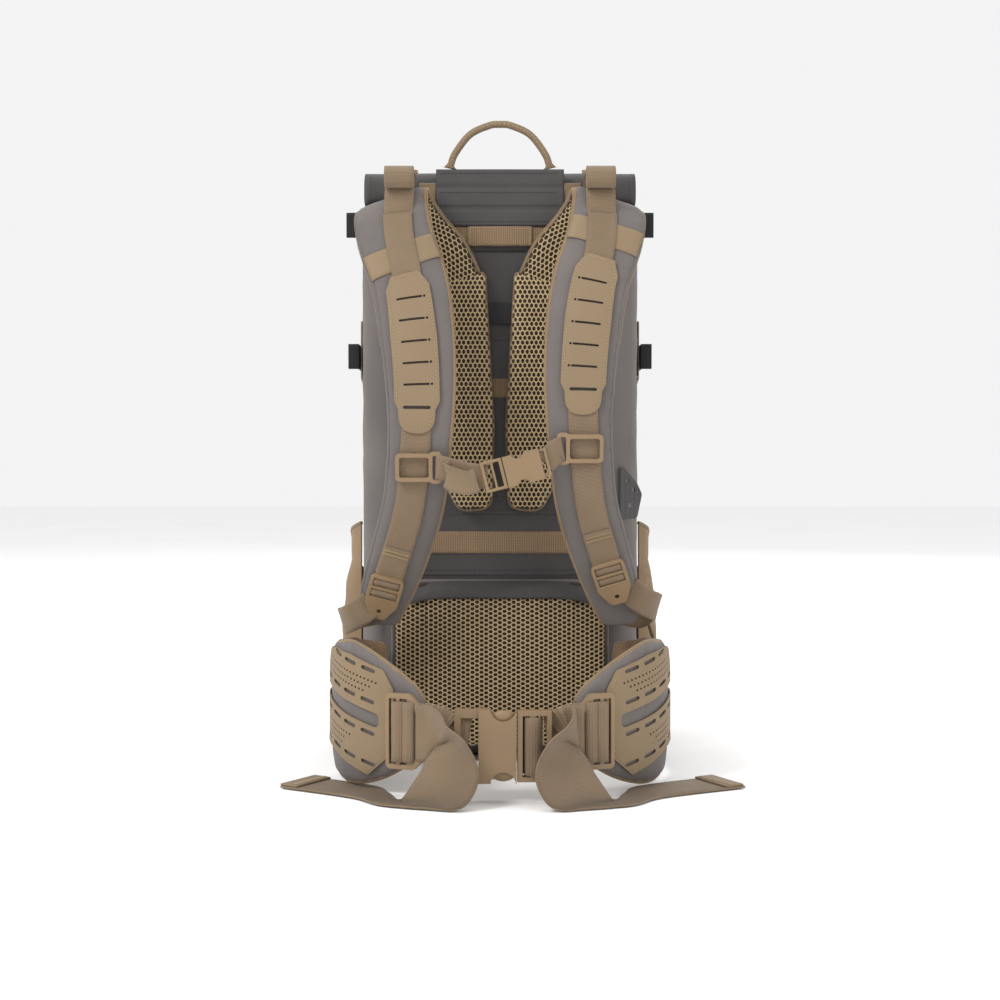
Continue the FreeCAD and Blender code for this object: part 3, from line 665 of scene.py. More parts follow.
def round_hole(u, v, radius):
    """A small hole's outline, with eight sides."""
    return [(u + radius * math.cos(a), v + radius * math.sin(a)) for a in np.arange(8) * math.pi / 4]


def rounded_outline(points, radius, arc=5):
    """A polygon with its corners rounded by arcs; radius is one number or one a corner."""
    points = np.asarray(points, float)
    result = []
    for i, p in enumerate(points):
        r = radius[i] if isinstance(radius, (list, tuple)) else radius
        a = unit(points[i - 1] - p)
        b = unit(points[(i + 1) % len(points)] - p)
        half = math.acos(np.clip(np.dot(a, b), -1, 1)) / 2
        back = r / math.tan(half)
        for k in range(arc + 1):
            t = k / arc
            q = (1 - t) ** 2 * (p + a * back) + 2 * t * (1 - t) * p + t ** 2 * (p + b * back)
            result.append(tuple(q))
    return result


def rounded_box(x0, x1, z0, z1, radius, arc=5):
    """A rectangle's outline with its corners rounded."""
    return rounded_outline([(x0, z0), (x1, z0), (x1, z1), (x0, z1)], radius, arc)


def on_plane(ring, y):
    """An outline's (x, z) points as a path on the upright plane at y."""
    return np.stack([ring[:, 0], np.full(len(ring), y), ring[:, 1]], 1)


def crown(thick, share):
    """How high a pad's face stands over its middle plane, a share of the way out to its edge."""
    return thick / 2 * (1 - min(1, share) ** 4.5) ** (1 / 2.6)


def soft(points, scale, seed=0):
    """Smooth noise from -1 to 1 at each point; scale is the size of a fold in millimetres."""
    shift = Vector((seed * 13.7, seed * 7.1, seed * 3.3))
    flat = np.asarray(points, float).reshape(-1, 3) / scale
    return np.array([noise.noise(Vector(p) + shift) for p in flat]).reshape(np.shape(points)[:-1])


def sheet_mesh(grid, thick):
    """Vertices, faces and uvs of a cloth sheet through a grid of points."""
    grid = np.asarray(grid, float)
    n, m = grid.shape[:2]
    normal = unit(np.cross(np.gradient(grid, axis=1), np.gradient(grid, axis=0)) + 1e-12)
    skins = (grid + normal * thick / 2, grid - normal * thick / 2)
    vertices = np.concatenate([skin.reshape(-1, 3) for skin in skins])
    index = np.arange(n * m).reshape(n, m)
    quads = np.stack([index[:-1, :-1], index[:-1, 1:], index[1:, 1:], index[1:, :-1]], -1).reshape(-1, 4)
    border = np.concatenate([index[0, :], index[1:, -1], index[-1, -2::-1], index[-2:0:-1, 0]])
    walls = [(a, b, b + n * m, a + n * m) for a, b in zip(border, np.roll(border, -1))]
    wide, high = (np.linalg.norm(np.diff(grid, axis=axis), axis=2) for axis in (1, 0))
    u = np.concatenate([np.zeros((n, 1)), np.cumsum(wide, axis=1)], 1)
    v = np.concatenate([np.zeros((1, m)), np.cumsum(high, axis=0)], 0)
    uvs = np.tile(np.stack([u, v], -1).reshape(-1, 2), (2, 1))
    return vertices, [tuple(q) for q in quads] + [tuple(q[::-1] + n * m) for q in quads] + walls, uvs


def sheet_piece(name, grid, thick, material, body="pack", **extra):
    vertices, faces, uvs = sheet_mesh(grid, thick)
    return piece(name, vertices, faces, material, body, uvs, **extra)


def resampled(points, count):
    """count points evenly spaced round a closed outline."""
    points = np.asarray(points, float)
    points = np.concatenate([points, points[:1]])
    along = lengths(points)
    places = np.arange(count) / count * along[-1]
    return np.stack([np.interp(places, along, points[:, k]) for k in range(points.shape[1])], 1)


def dome(outline, depth, power=5.0):
    """How far a padded form with this flat outline stands up at (u, v)."""
    ring = resampled(outline, 240)
    centre = ring.mean(0)
    angle = np.arctan2(ring[:, 1] - centre[1], ring[:, 0] - centre[0])
    order = np.argsort(angle)
    radius = np.hypot(*(ring - centre).T)[order]
    angle = angle[order]

    def rise(u, v):
        a = np.arctan2(v - centre[1], u - centre[0])
        share = np.hypot(u - centre[0], v - centre[1]) / np.interp(a, angle, radius, period=2 * math.pi)
        return depth * (1 - np.minimum(share, 1) ** power) ** (1 / power), share

    return rise


def pad(name, outline, back, rise, materials, crease, rows_up=26, **extra):
    """A foam pad in fabric on an XZ plane at back, standing up towards -Y."""
    count = 144
    ring = resampled(outline, count)
    centre = ring.mean(0)
    rows = np.sin(np.linspace(0.02, 1, rows_up) * math.pi / 2)
    flat = centre + (ring - centre)[None] * rows[:, None, None]
    height = rise(flat[..., 0], flat[..., 1])[0] - crease(flat[..., 0], flat[..., 1])
    front = np.stack([flat[..., 0], back - height, flat[..., 1]], -1)
    vertices = np.concatenate([front.reshape(-1, 3), [[centre[0], back - rise(*centre)[0], centre[1]]]])
    faces = rings(rows_up, count) + [(rows_up * count, (j + 1) % count, j) for j in range(count)]
    faces.append(ring_end(rows_up, count))
    return piece(name, vertices, faces, materials, "pack", vertices[:, [0, 2]], **extra)


# ---------------------------------------------------------------- bag

BAG_HALF = 127.0
BAG_FRONT = -100.0
BAG_REAR = 95.0
BAG_TOP = 496.0
BAG_CORNER = 32.0
BAG_FOOT = 26.0
MOUTH_REAR = -57.0
SHOULDER_START = 405.0
SHOULDER_FALL = (BAG_REAR - MOUTH_REAR) / (490.0 - SHOULDER_START)
ROLL_TOP = 528.0
PANEL_FACE = -104.0


def bag_ring(z, inset, count=132):
    """The bag's plan at a height: foot rounded in, outer shoulder sloped off, sides sagging in."""
    below = BAG_FOOT - min(z, BAG_FOOT)
    tuck = inset + BAG_FOOT - math.sqrt(BAG_FOOT ** 2 - below ** 2)
    slope = BAG_REAR - SHOULDER_FALL * (z - SHOULDER_START)
    rear = -14 * math.log(math.exp(-BAG_REAR / 14) + math.exp(-slope / 14)) if z > 340 else BAG_REAR
    rear = max(rear, MOUTH_REAR) - tuck
    front = BAG_FRONT + tuck
    half = BAG_HALF - tuck
    r = min(BAG_CORNER, (rear - front) / 2 - 0.5)
    ring = rounded_box(-half, half, front, rear, r, arc=10)
    ring = resampled(ring[-6:] + ring[:-6], count)
    points = np.concatenate([ring, np.full((count, 1), z)], 1)
    outward = unit(ring / np.array([half, (rear - front) / 2]))
    loose = np.clip((points[:, 1] - BAG_FRONT - 6) / 30, 0, 1) * min(1, (BAG_TOP - z) / 30) * min(1, z / 40)
    folds = 1.6 * soft(points * [1, 1, 2.4], 55, 1) + 1.0 * soft(points * [1, 1, 1.5], 21, 2)
    points[:, :2] -= outward * ((2.6 - folds) * loose)[:, None]
    return np.concatenate([points, points[:1]])


def make_bag():
    """The bag's wall as one closed skin: inside up to the rim, then down the outside."""
    heights = [0, 0.8, 3, 7, 12, 18, 26] + list(np.linspace(34, BAG_TOP, 62))
    inner = [bag_ring(max(z, 2.5), 2.4) for z in heights[3:]]
    outer = [bag_ring(z, 0) for z in heights[::-1]]
    grid = np.array(inner + outer)[:, :-1]
    n, m = grid.shape[:2]
    slots = [1 if i < len(inner) - 1 else 0 for i in range(n - 1) for _ in range(m)]
    faces = rings(n, m) + [tuple(range(m)), ring_end(n, m)]
    piece("bag_cloth", grid.reshape(-1, 3), faces, ["grey", "lining"], stands_for=["bag_shell"],
          slot="grey_fabric", face_slots=slots + [1, 0])


def make_roll_top():
    """The rolled mouth: a spiral of laminate, its layers showing unevenly at the ends."""
    turns = 2.6
    t = np.linspace(0, 1, 110)
    shrink = 1 - 0.62 * t
    angle = t * turns * 2 * math.pi + math.radians(100)
    power = 0.62
    half_deep, half_high = 19.0, 14.6
    cy, cz = -80.5, 512.4
    y = cy + np.sign(np.cos(angle)) * np.abs(np.cos(angle)) ** power * half_deep * shrink
    z = cz + np.sign(np.sin(angle)) * np.abs(np.sin(angle)) ** power * half_high * shrink
    rows = []
    for share in np.linspace(-1, 1, 61):
        ends = 121.0 - 3.5 * t + 1.6 * np.sin(t * 9)
        line = np.stack([share * ends, y, z], 1)
        line[:, 1:] += (soft(line, 48, 3) * 0.8)[:, None] * np.stack([np.cos(angle), np.sin(angle)], 1)
        rows.append(line)
    sheet_piece("roll_top_cloth", rows, 1.5, "charcoal", "roll_top", stands_for=["roll_top"],
                slot="charcoal_fabric")
    for side, sign in SIDES:
        spine = [(sign * 30, cy, cz + 6.5), (sign * 118.5, cy, cz + 6.5)]
        tube_piece(f"roll_stiffener_{side}", smoothed(spine, 12), 2.2, "black_plastic", "roll_top")
        edge = np.array([(sign * 116.0, cy - half_deep - 1.6, z) for z in np.linspace(cz - 12, cz + 12, 14)])
        threads(f"roll_end_thread_{side}", running(edge, -Y), "roll_top", "dark_thread")


def make_back_panel():
    y = PANEL_FACE + 3.4

    def place(u, v):
        sag = 0.5 * noise.noise(Vector((u / 40, 3, v / 40)))
        return np.array([u, y + sag, v]), -Y

    outline = rounded_box(-97, 97, 30, 495, [14, 14, 10, 10])
    slots = [rounded_slot(0, 455.5, 46, 1.8), rounded_slot(0, 316, 20, 1.6)]
    cut_panel("back_panel_cloth", outline, slots, place, "pack", "charcoal", thick=3.0, grid=9.0,
              stands_for=["back_panel"], slot="charcoal_fabric")
    for name, x0, x1, z0, z1 in (("lower", -84, 84, 166, 224), ("middle", -40, 40, 232, 380)):
        cut_panel(f"panel_overlay_{name}", rounded_box(x0, x1, z0, z1, 6), [],
                  lambda u, v: (np.array([u, PANEL_FACE + 0.1, v]), -Y), "pack", "charcoal", thick=0.8,
                  grid=12)
        edge = resampled(rounded_box(x0 + 4, x1 - 4, z0 + 4, z1 - 4, 5), 90)
        threads(f"panel_thread_{name}", running(on_plane(edge, PANEL_FACE - 0.8), -Y), material="dark_thread")

    rows = []
    for z in np.linspace(478, ROLL_TOP, 30):
        x = np.linspace(-57, 57, 60)
        fold = 1.1 * np.exp(-((z - 512) / 2.2) ** 2) + 0.9 * np.exp(-((z - 493) / 2.0) ** 2)
        wave = 0.5 * soft(np.stack([x, np.zeros(60), np.full(60, z * 1.5)], 1), 30, 4)
        rows.append(np.stack([x, -107.2 + fold + wave, np.full(60, z)], 1))
    sheet_piece("mouth_flap", rows, 1.8, "charcoal", slot="charcoal_fabric")
    for i, z in enumerate((524.5, 507.5, 496.0, 481.5)):
        line = np.array([(x, -108.3, z) for x in np.linspace(-54, 54, 40)])
        threads(f"flap_thread_{i}", running(line, -Y, 2.2, 1.2), material="dark_thread")


def make_panel_webbing():
    y = PANEL_FACE - 1.1
    for i, (half, low, high) in enumerate(((44, 460, 477.5), (22, 325, 342), (66, 185, 205))):
        middle = (low + high) / 2
        ribbon(f"ladder_band_{i}", [(x, y, middle) for x in np.linspace(-half, half, 5)], Z, high - low,
               "ladder", stands_for=["ladder_webbing"] if i == 0 else ())
        for side, sign in SIDES:
            ends = np.array([(sign * (half - 4), y - 1.0, z) for z in np.linspace(low + 1, high - 1, 8)])
            threads(f"ladder_bartack_{i}_{side[0]}", zigzag(ends, -Y, 2.6, 0.9))
    loop = [(x, y - rise, 468.7) for x, rise in ((-28, 1.2), (-25, 2.6), (0, 3.4), (25, 2.6), (28, 1.2))]
    ribbon("ladder_loop", loop, Z, 17.5, "ladder")
    for side, sign in SIDES:
        ends = np.array([(sign * 27, y - 3.4, z) for z in np.linspace(461, 476, 8)])
        threads(f"loop_bartack_{side[0]}", zigzag(ends, -Y, 2.4, 0.9))
    ribbon("dark_band", [(x, y, 400) for x in np.linspace(-62, 62, 5)], Z, 20, "dark_webbing",
           stands_for=["dark_webbing"])
    for side, sign in SIDES:
        ribbon(f"yoke_tab_{side}", [(-64.5, -106.6, 516), (-64.5, -106.2, 500), (-64.5, -105.4, 482)], X, 15,
               sign=sign, thick=1.4)


# ---------------------------------------------------------------- back pads

def crease_lines(*places, depth=2.4, width=2.2):
    """Sewn channels: grooves along lines of constant u or v."""
    def groove(u, v):
        total = 0.0
        for axis, place, low, high in places:
            along, other = (u, v) if axis == "u" else (v, u)
            total = total + depth * np.exp(-((along - place) / width) ** 2) * ((other > low) & (other < high))
        return total
    return groove


def netted_pad(name, node, outline, back, depth, crease, reach, turned, net_top=math.inf, power=4.5):
    rise = dome(outline, depth - 1.0, power)
    made = pad(name, outline, back, rise, "lining", crease=crease, stands_for=[node], slot="mesh")
    ring = np.asarray(outline)
    low, high = ring.min(0), ring.max(0)
    middle = (low + high) / 2

    def surface(u, v):
        h, _ = rise(u, v)
        return h - crease(u, v)

    def place(u, v):
        u, v = u + middle[0], v + middle[1]
        e = 0.5
        h = surface(u, v)
        du = (surface(u + e, v) - surface(u - e, v)) / (2 * e)
        dv = (surface(u, v + e) - surface(u, v - e)) / (2 * e)
        return np.array([u, back - h, v]), unit([-du, -1, -dv])

    def inside(u, v):
        return rise(u + middle[0], v + middle[1])[1] < reach and v + middle[1] < net_top

    net(f"{name}_net", place, high - low, inside, turned)


def bound_edge(name, outline, y, material, radius):
    """Piping round a pad's outline."""
    path = on_plane(resampled(outline, 160), y)
    tube_piece(name, np.concatenate([path, path[:1]]), radius, material)


def make_pads():
    left = [(-62, 424), (-56, 262), (-36, 224), (-8, 226), (-6, 300), (-14, 436)]
    radii = [3, 14, 12, 12, 40, 3]
    for side, sign in SIDES:
        points = [(-sign * x, z) for x, z in left]
        way = -sign
        outline = rounded_outline(points[::way], radii[::way], arc=8)
        crease = crease_lines(("v", 266, -70, 70), ("v", 330, -70, 70), depth=2.0, width=2.6)
        netted_pad(f"back_pad_{side}_foam", f"back_pad_{side}", outline, -106.6, 22.2, crease, 0.985, True)
        bound_edge(f"back_pad_{side}_piping", outline, -109.5, "tan_cloth", 1.6)

    lumbar = [(-95, 23), (-70, 15), (70, 15), (95, 23), (95, 138), (74, 160), (-74, 160), (-95, 138)]
    outline = rounded_outline(lumbar, [14, 20, 20, 14, 14, 16, 16, 14], arc=8)
    crease = crease_lines(("u", -66, 10, 150), ("u", 66, 10, 150), depth=2.2, width=2.4)
    netted_pad("lumbar_foam", "lumbar_pad", outline, -106.6, 26.6, crease, 0.98, False, net_top=147.0)
    bound_edge("lumbar_piping", outline, -110, "grey", 2.4)
    rows = []
    for t in np.linspace(0, 1, 14):
        x = np.linspace(-80, 80, 150)
        pleat = 0.45 * np.sin(x / 2.1) * math.sin(math.pi * t)
        arc = math.pi / 2 * t
        z = 147 + 13.5 * math.sin(arc) - 6 * (np.abs(x) / 80) ** 6
        y = -131.8 + 18 * (1 - math.cos(arc)) - pleat
        rows.append(np.stack([x, y, z], 1))
    sheet_piece("lumbar_top_band", rows, 1.6, "charcoal", slot="grey_fabric")


# ---------------------------------------------------------------- shoulder straps

STRAP_THICK = 13.0
WEB_SHIFT = -3.0
SIDE_LIFT = {"left": 0.0, "right": 15.0}
STRAP_WEB = 25.0
CHEST = 15
STRAP_RAILS = [
    (-76, -15, 423, 423, -113), (-86, -26, 446, 446, -114), (-100, -43, 462, 470, -118),
    (-112, -56, 474, 491, -126), (-120, -62, 481, 503, -141), (-124, -63, 474, 492, -157),
    (-121, -57, 453, 461, -169), (-109, -45, 421, 421, -181), (-102, -39, 382, 382, -192),
    (-96, -37, 334, 334, -200), (-94, -40, 287, 287, -203), (-98.5, -46.5, 234, 234, -195),
    (-110, -60, 191, 191, -180), (-121, -78, 149, 149, -164), (-117, -88, 129, 129, -156),
]


def strap_path():
    rails = smoothed(STRAP_RAILS, 3)
    xo, xi, zo, zi, y = rails.T
    centres = np.stack([(xo + xi) / 2, y, (zo + zi) / 2], 1)
    spans = np.stack([xi - xo, np.zeros(len(xo)), zi - zo], 1)
    return framed(centres, spans) + (np.linalg.norm(spans, axis=1),)


PATH = strap_path()


def on_strap(z):
    """The strap's centre, across, outward normal and width on the chest side at height z."""
    centres, acrosses, normals, widths = (part[CHEST:] for part in PATH)
    heights = centres[::-1, 2]
    centre, across, normal = (at(z, heights, part[::-1]) for part in (centres, acrosses, normals))
    return centre, unit(across), unit(normal), np.interp(z, heights, widths[::-1])


def on_face(u, z, lift, sign=-1):
    """A point above the strap's chest face and the face's normal there."""
    centre, across, normal, width = on_strap(z)
    point = centre + across * u + normal * (crown(STRAP_THICK, abs(u) / (width / 2)) + lift)
    return flipped(point, sign), flipped(normal, sign)


def padded_band(name, centres, acrosses, normals, widths, thick, materials, body, seed, **extra):
    """A long pad: its section a flat lens with soft shoulders, puckered along both sewn edges."""
    angles = (np.arange(48) + 0.5) / 48 * 2 * math.pi
    c, s = np.cos(angles), np.sin(angles)
    across = np.sign(c) * np.abs(c) ** (2 / 4.5)
    up = np.sign(s) * np.abs(s) ** (2 / 2.6)
    high = np.repeat(up[None] * thick / 2, len(widths), 0)
    loops = np.stack([across[None] * widths[:, None] / 2, high], -1)
    vertices, faces, uvs = sweep(centres, acrosses, normals, loops)
    edge = np.tile(np.abs(across) ** 3, len(widths))
    along = np.repeat(lengths(centres), 48)
    pucker = 0.45 * np.sin(along / 1.9 + 1.5 * soft(vertices, 25, seed)) + 0.9 * soft(vertices, 26, seed + 1)
    lift = np.repeat(normals, 48, 0) * (pucker * edge * np.tile(np.sign(up), len(widths)))[:, None]
    middles = [(a + b) / 2 for a, b in zip(angles, angles[1:])] + [0.001]
    slots = [0 if math.sin(a) > 0 else 1 for a in middles] * (len(widths) - 1) + [0, 0]
    return piece(name, vertices + lift, faces, materials, body, uvs, face_slots=slots, **extra)


def edge_path(sign, side_of, thick_share=0.0, lift=0.0, first=0, last=None):
    """A line along one edge of the strap, and its normals."""
    centres, acrosses, normals, widths = (part[first:last] for part in PATH)
    line = centres + acrosses * (side_of * (widths / 2 + lift))[:, None] + normals * thick_share * STRAP_THICK
    return flipped(line, sign), flipped(acrosses * side_of, sign)


def make_strap(side, sign):
    centres, acrosses, normals, widths = PATH
    fine = [smoothed(part, 3) for part in (centres, acrosses, normals)]
    wide = smoothed(widths[:, None], 3)[:, 0]
    body = padded_band(f"strap_{side}_foam", flipped(fine[0], sign), flipped(unit(fine[1]), sign),
                       flipped(unit(fine[2]), sign), wide - 3, STRAP_THICK, ["grey", "lining"], "pack",
                       5 + sign, stands_for=[f"shoulder_strap_{side}"], slot="grey_fabric")
    for label, side_of in (("outer", -1), ("inner", 1)):
        line, out = edge_path(sign, side_of, 0.05, -1.6)
        tube_piece(f"strap_{side}_{label}_binding", smoothed(line, 3), 2.0,
                   "grey" if label == "outer" else "tan_cloth")
        line, out = edge_path(sign, side_of, 0.05, 0.6, 0, 26)
        threads(f"strap_{side}_{label}_zigzag", zigzag(smoothed(line, 3), smoothed(out, 3), 2.6, 1.5))

    total = lengths(fine[0])
    middle = total[-1] / 2

    def place(u, v):
        d = v + middle
        point, across, normal = (at(d, total, part) for part in fine)
        half = np.interp(d, total, wide) / 2 - 1.5
        normal = unit(normal)
        under = point + unit(across) * u - normal * (crown(STRAP_THICK, abs(u) / half) - 0.3)
        return flipped(under, sign), flipped(-normal, sign)

    def inside(u, v):
        return abs(v) < middle - 0.5 and abs(u) < np.interp(v + middle, total, wide) / 2 - 2.6

    net(f"strap_{side}_net", place, (74, total[-1]), inside, turned=True)


def face_ribbon(name, heights, width, lift, sign, lean=0.0, **extra):
    """Webbing lying down the strap's chest face; lean moves its top end inward."""
    rows = [on_strap(z) for z in heights]
    shifts = WEB_SHIFT + lean * np.clip((heights - heights[-1]) / (heights[0] - heights[-1]), 0, 1)
    up = STRAP_THICK / 2 + lift
    centres = np.array([c + a * shift + n * up for (c, a, n, _), shift in zip(rows, shifts)])
    acrosses = np.array([a for _, a, _, _ in rows])
    return ribbon(name, centres, acrosses, width, thick=1.6, steps=2, sign=sign, **extra)


def make_strap_webbing(side, sign):
    up = SIDE_LIFT[side]
    face_ribbon(f"strap_tape_{side}_upper", np.linspace(476, 410 + up, 14), STRAP_WEB, 1.6, sign, lean=9.0,
                stands_for=[f"strap_webbing_{side}"])
    face_ribbon(f"strap_tape_{side}_lower", np.linspace(310 + up, 172 + up, 22), STRAP_WEB, 1.4, sign)
    face_ribbon(f"strap_tape_{side}_doubled", np.linspace(196 + up, 160 + up, 8), STRAP_WEB - 1, 3.2, sign)
    for label, z in (("a", 193 + up), ("b", 190 + up)):
        spots = [on_face(u + WEB_SHIFT, z, 4.2, sign) for u in np.linspace(-11, 11, 9)]
        line, normals = (np.array(part) for part in zip(*spots))
        threads(f"strap_bartack_{side}_{label}", zigzag(line, normals, 2.0, 0.9))


def stitched_ring(name, ring, place, body="pack"):
    """A row of stitches on a cut panel, along a ring drawn on it flat."""
    points, normals = (np.array(part) for part in zip(*[place(u, v) for u, v in ring]))
    threads(name, running(points + normals * 1.2, normals, 2.0, 1.1), body)


def make_strap_panel(side, sign):
    """The laser-cut panel on the chest: five slots with a hole, a wide slot, and a rounded stitched tab."""
    up = SIDE_LIFT[side]
    half = [(12, 424), (18.5, 412), (19.5, 372), (19, 330), (19, 317), (15.5, 310), (15.5, 291)]
    outline = [(-12, 424)] + half + [(-u, v) for u, v in half[:0:-1]]
    radii = [1.5, 1.5, 4, 9, 6, 3, 2, 15.2, 15.2, 2, 3, 6, 9, 4]
    outline = rounded_outline([(u, v + up) for u, v in outline], radii)
    holes = []
    for z in (403, 385, 367, 349, 331):
        holes.append(rounded_slot(0, z + up, 22, 1.9))
        holes.append(round_hole(12.8, z + up, 1.1))
    holes.append(rounded_slot(0, 312 + up, 23, 2.6))

    def place(u, v):
        centre, across, n, _ = on_strap(v)
        flat = centre + across * (u + WEB_SHIFT) + n * (STRAP_THICK / 2 + 2.9 - 0.0016 * u * u * 2.5)
        return flipped(flat, sign), flipped(n, sign)

    cut_panel(f"strap_panel_{side}_cut", outline, holes, place, "pack", thick=1.1, grid=7,
              stands_for=[f"strap_panel_{side}"], slot="laminate")
    ring = resampled([(u * 0.88, (v - 360 - up) * 0.965 + 360 + up) for u, v in outline], 130)
    stitched_ring(f"strap_panel_{side}_thread", ring, place)


def make_cross_band(side, sign):
    """The tan band sewn across the strap under the webbing."""
    base = 440 + SIDE_LIFT[side] * 1.3
    climb = 1.5
    rows = []
    for step in np.linspace(-1, 1, 13):
        centre, across, normal, width = on_strap(base + climb * step)
        front = on_face(step * (width / 2 - 1), base + climb * step, 0.55, -1)[0]
        rows.append((front, unit(np.cross(across * width / 2 + Z * climb, normal)), normal))
    points, along, _ = (np.array(part) for part in zip(*rows))
    ribbon(f"cross_band_{side}", points, along, 23, "laminate", "pack", 0.9, 2, sign,
           stands_for=["cross_bands"] if side == "left" else ())


def lock_frame(side, sign):
    """The ladder lock's place: face centre, across, outward normal and up."""
    z = 155 + SIDE_LIFT[side] * 0.85
    centre, across, normal, _ = on_strap(z)
    down = unit(np.cross(across, normal))
    down = down if down[2] < 0 else -down
    origin = centre + normal * (STRAP_THICK / 2 + 3.4 + 4.2) + across * WEB_SHIFT
    return origin, across, normal, -down


def lock_wraps(name, frame4, slots, width, body, sign, depth=4.2):
    """Webbing showing through a ladder lock's slots, bulging over its bars."""
    origin, across, normal, up = frame4
    for i, (low, high) in enumerate(slots):
        points = []
        for t in np.linspace(0, 1, 7):
            h = low + (high - low) * t
            d = depth * (0.95 - 0.80 * math.sin(math.pi * t) ** 0.6)
            points.append(origin + up * h - normal * d)
        ribbon(f"{name}_{i}", points, across, width, "webbing", body, 1.4, 3, sign)


def make_locks(side, sign):
    rounded_copy(f"ladder_lock_{side}", "plastic", 0.7)
    spot = lock_frame(side, sign)
    lock_wraps(f"lock_wrap_{side}", spot, ((9.4, 17.2), (-0.4, 7.4)), 22.4, f"ladder_lock_{side}", sign)
    rounded_copy(f"lifter_buckle_{side}", "plastic", 0.6)

    lift = SIDE_LIFT[side] * 0.8
    path = [(-110, -173, 146 + lift), (-119, -173, 139 + lift), (-129, -168, 133 + lift),
            (-137, -154, 129 + lift), (-135, -134, 129 + lift), (-125, -116, 131), (-110, -105.5, 133)]
    lean = np.array([-0.6, 0, 0.8])
    half_lean = np.array([-0.3, 0, 1])
    ribbon(f"lower_strap_{side}", path, [lean, lean, lean, half_lean, Z, Z, Z], 24, sign=sign,
           stands_for=[f"lower_webbing_{side}"])

    turns = np.linspace(0, 1, 70)
    radius = 2.2 + 7.4 * turns
    angle = turns * 3.6 * 2 * math.pi + math.radians(150)
    spiral = np.stack([np.full(70, -86.0), -172 + radius * np.cos(angle), 511 + radius * np.sin(angle)], 1)
    ribbon(f"lifter_roll_{side}", spiral, X, STRAP_WEB, thick=1.5, steps=1, sign=sign,
           stands_for=[f"load_lifter_{side}"])
    over = [(-86, -163, 515), (-86, -156, 518), (-86, -149, 519), (-86, -140, 520), (-86, -131, 521),
            (-86, -121, 517), (-86, -113, 507), (-86, -108, 494), (-86, -105.4, 478)]
    ribbon(f"lifter_strap_{side}", over, X, STRAP_WEB - 1, sign=sign)
    down = [(-86, -164, 503), (-86.4, -166.5, 496), (-86.8, -166.3, 486), (-87.2, -168.5, 474)]
    ribbon(f"lifter_drop_{side}", down, X, STRAP_WEB, sign=sign)


def make_sternum():
    for side, sign in SIDES:
        rounded_copy(f"sternum_slider_{side}", "plastic", 0.6)
        rounded_copy(f"sternum_buckle_{'female' if side == 'right' else 'male'}", "plastic", 0.8)
    for label in ("upper", "lower"):
        rounded_copy(f"sternum_prong_{label}", "plastic", 0.4)
    tilt = math.radians(14)
    along = np.array([math.cos(tilt), 0, math.sin(tilt)])
    rise = np.array([-math.sin(tilt), 0, math.cos(tilt)])
    middle = np.array([16, -222.5, 261.5])
    male = middle - along * 27.5
    female = middle + along * 21.5
    bar = np.array([-48.5, -217, 262.5])
    path = [(-53, -214, 263), bar, (male + bar) / 2 - [0, 1, 1], male]
    ribbon("sternum_tape_left", path, [Z, Z, rise, rise], 20, body="sternum_left",
           stands_for=["sternum_webbing_left"])
    loop = [(-40, -219.5, 259), (-43.5, -222, 257.5), (-42.5, -225.5, 255), (-36, -228, 252),
            (-27, -228.8, 250), (-19, -227, 252)]
    ribbon("sternum_fold_left", loop, Z, 20, body="sternum_left")
    bar = np.array([47.5, -217.5, 277])
    path = [female, (female + bar) / 2, bar, (52, -215, 278.5)]
    ribbon("sternum_tape_right", path, [rise, rise, Z, Z], 20, body="sternum_right",
           stands_for=["sternum_webbing_right"])


# ---------------------------------------------------------------- hip belt

WING = [
    (-103.5, -121, 24, 108), (-114, -130, 22, 111), (-128, -150, 20, 114), (-135, -180, 15, 116),
    (-132, -212, 6, 119), (-117, -242, 4.5, 121), (-92, -262, 13, 108), (-68, -273, 29, 90),
    (-60, -275.5, 42, 78),
]
WING_THICK = 14.0
BELT_WEB = 45.0
BELT_Z = 44.0
ADJUSTER_Z = 54.5
BUCKLE_Y = -292.0


def wing_path():
    rails = smoothed(WING, 8)
    centres = np.stack([rails[:, 0], rails[:, 1], np.zeros(len(rails))], 1)
    _, across, out = framed(centres, np.repeat([Z], len(rails), 0))
    return centres, out, rails[:, 2], rails[:, 3]


WING_PATH = wing_path()
WING_RUN = lengths(WING_PATH[0])


def on_wing(d):
    """The wing's middle, outward direction, foot and top at a distance along it."""
    centres, outs, foot, top = WING_PATH
    middle, out = at(d, WING_RUN, centres), unit(at(d, WING_RUN, outs))
    return middle, out, np.interp(d, WING_RUN, foot), np.interp(d, WING_RUN, top)


def make_wing(side, sign):
    centres, outs, foot, top = WING_PATH
    middle = centres + Z * ((foot + top) / 2)[:, None]
    ups = np.repeat([Z], len(middle), 0)
    body = f"wing_{side}"
    made = padded_band(f"wing_{side}_foam", flipped(middle, sign), flipped(ups, sign), flipped(outs, sign),
                       top - foot - 2, WING_THICK, ["grey", "knit"], None, 9 + sign,
                       stands_for=[f"wing_{side}"], slot="grey_fabric")
    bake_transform(made)
    for label, edge, way in (("top", top - 1.5, 1), ("foot", foot + 1.5, -1)):
        line = (centres + Z * edge[:, None])[14:]
        tube_piece(f"wing_{side}_{label}_binding", flipped(line, sign), 1.9, "tan_cloth", body)
        stitched = flipped(line + outs[14:] * 1.9 - Z * way * 0.6, sign)
        threads(f"wing_{side}_{label}_zigzag", zigzag(stitched, flipped(outs[14:], sign), 2.8, 1.5), body)


def row_height(d, z):
    """A row of cuts falls towards the buckle from the height z, and is level at the wing's back."""
    return z - 0.26 * (max(d, 85) - 105)


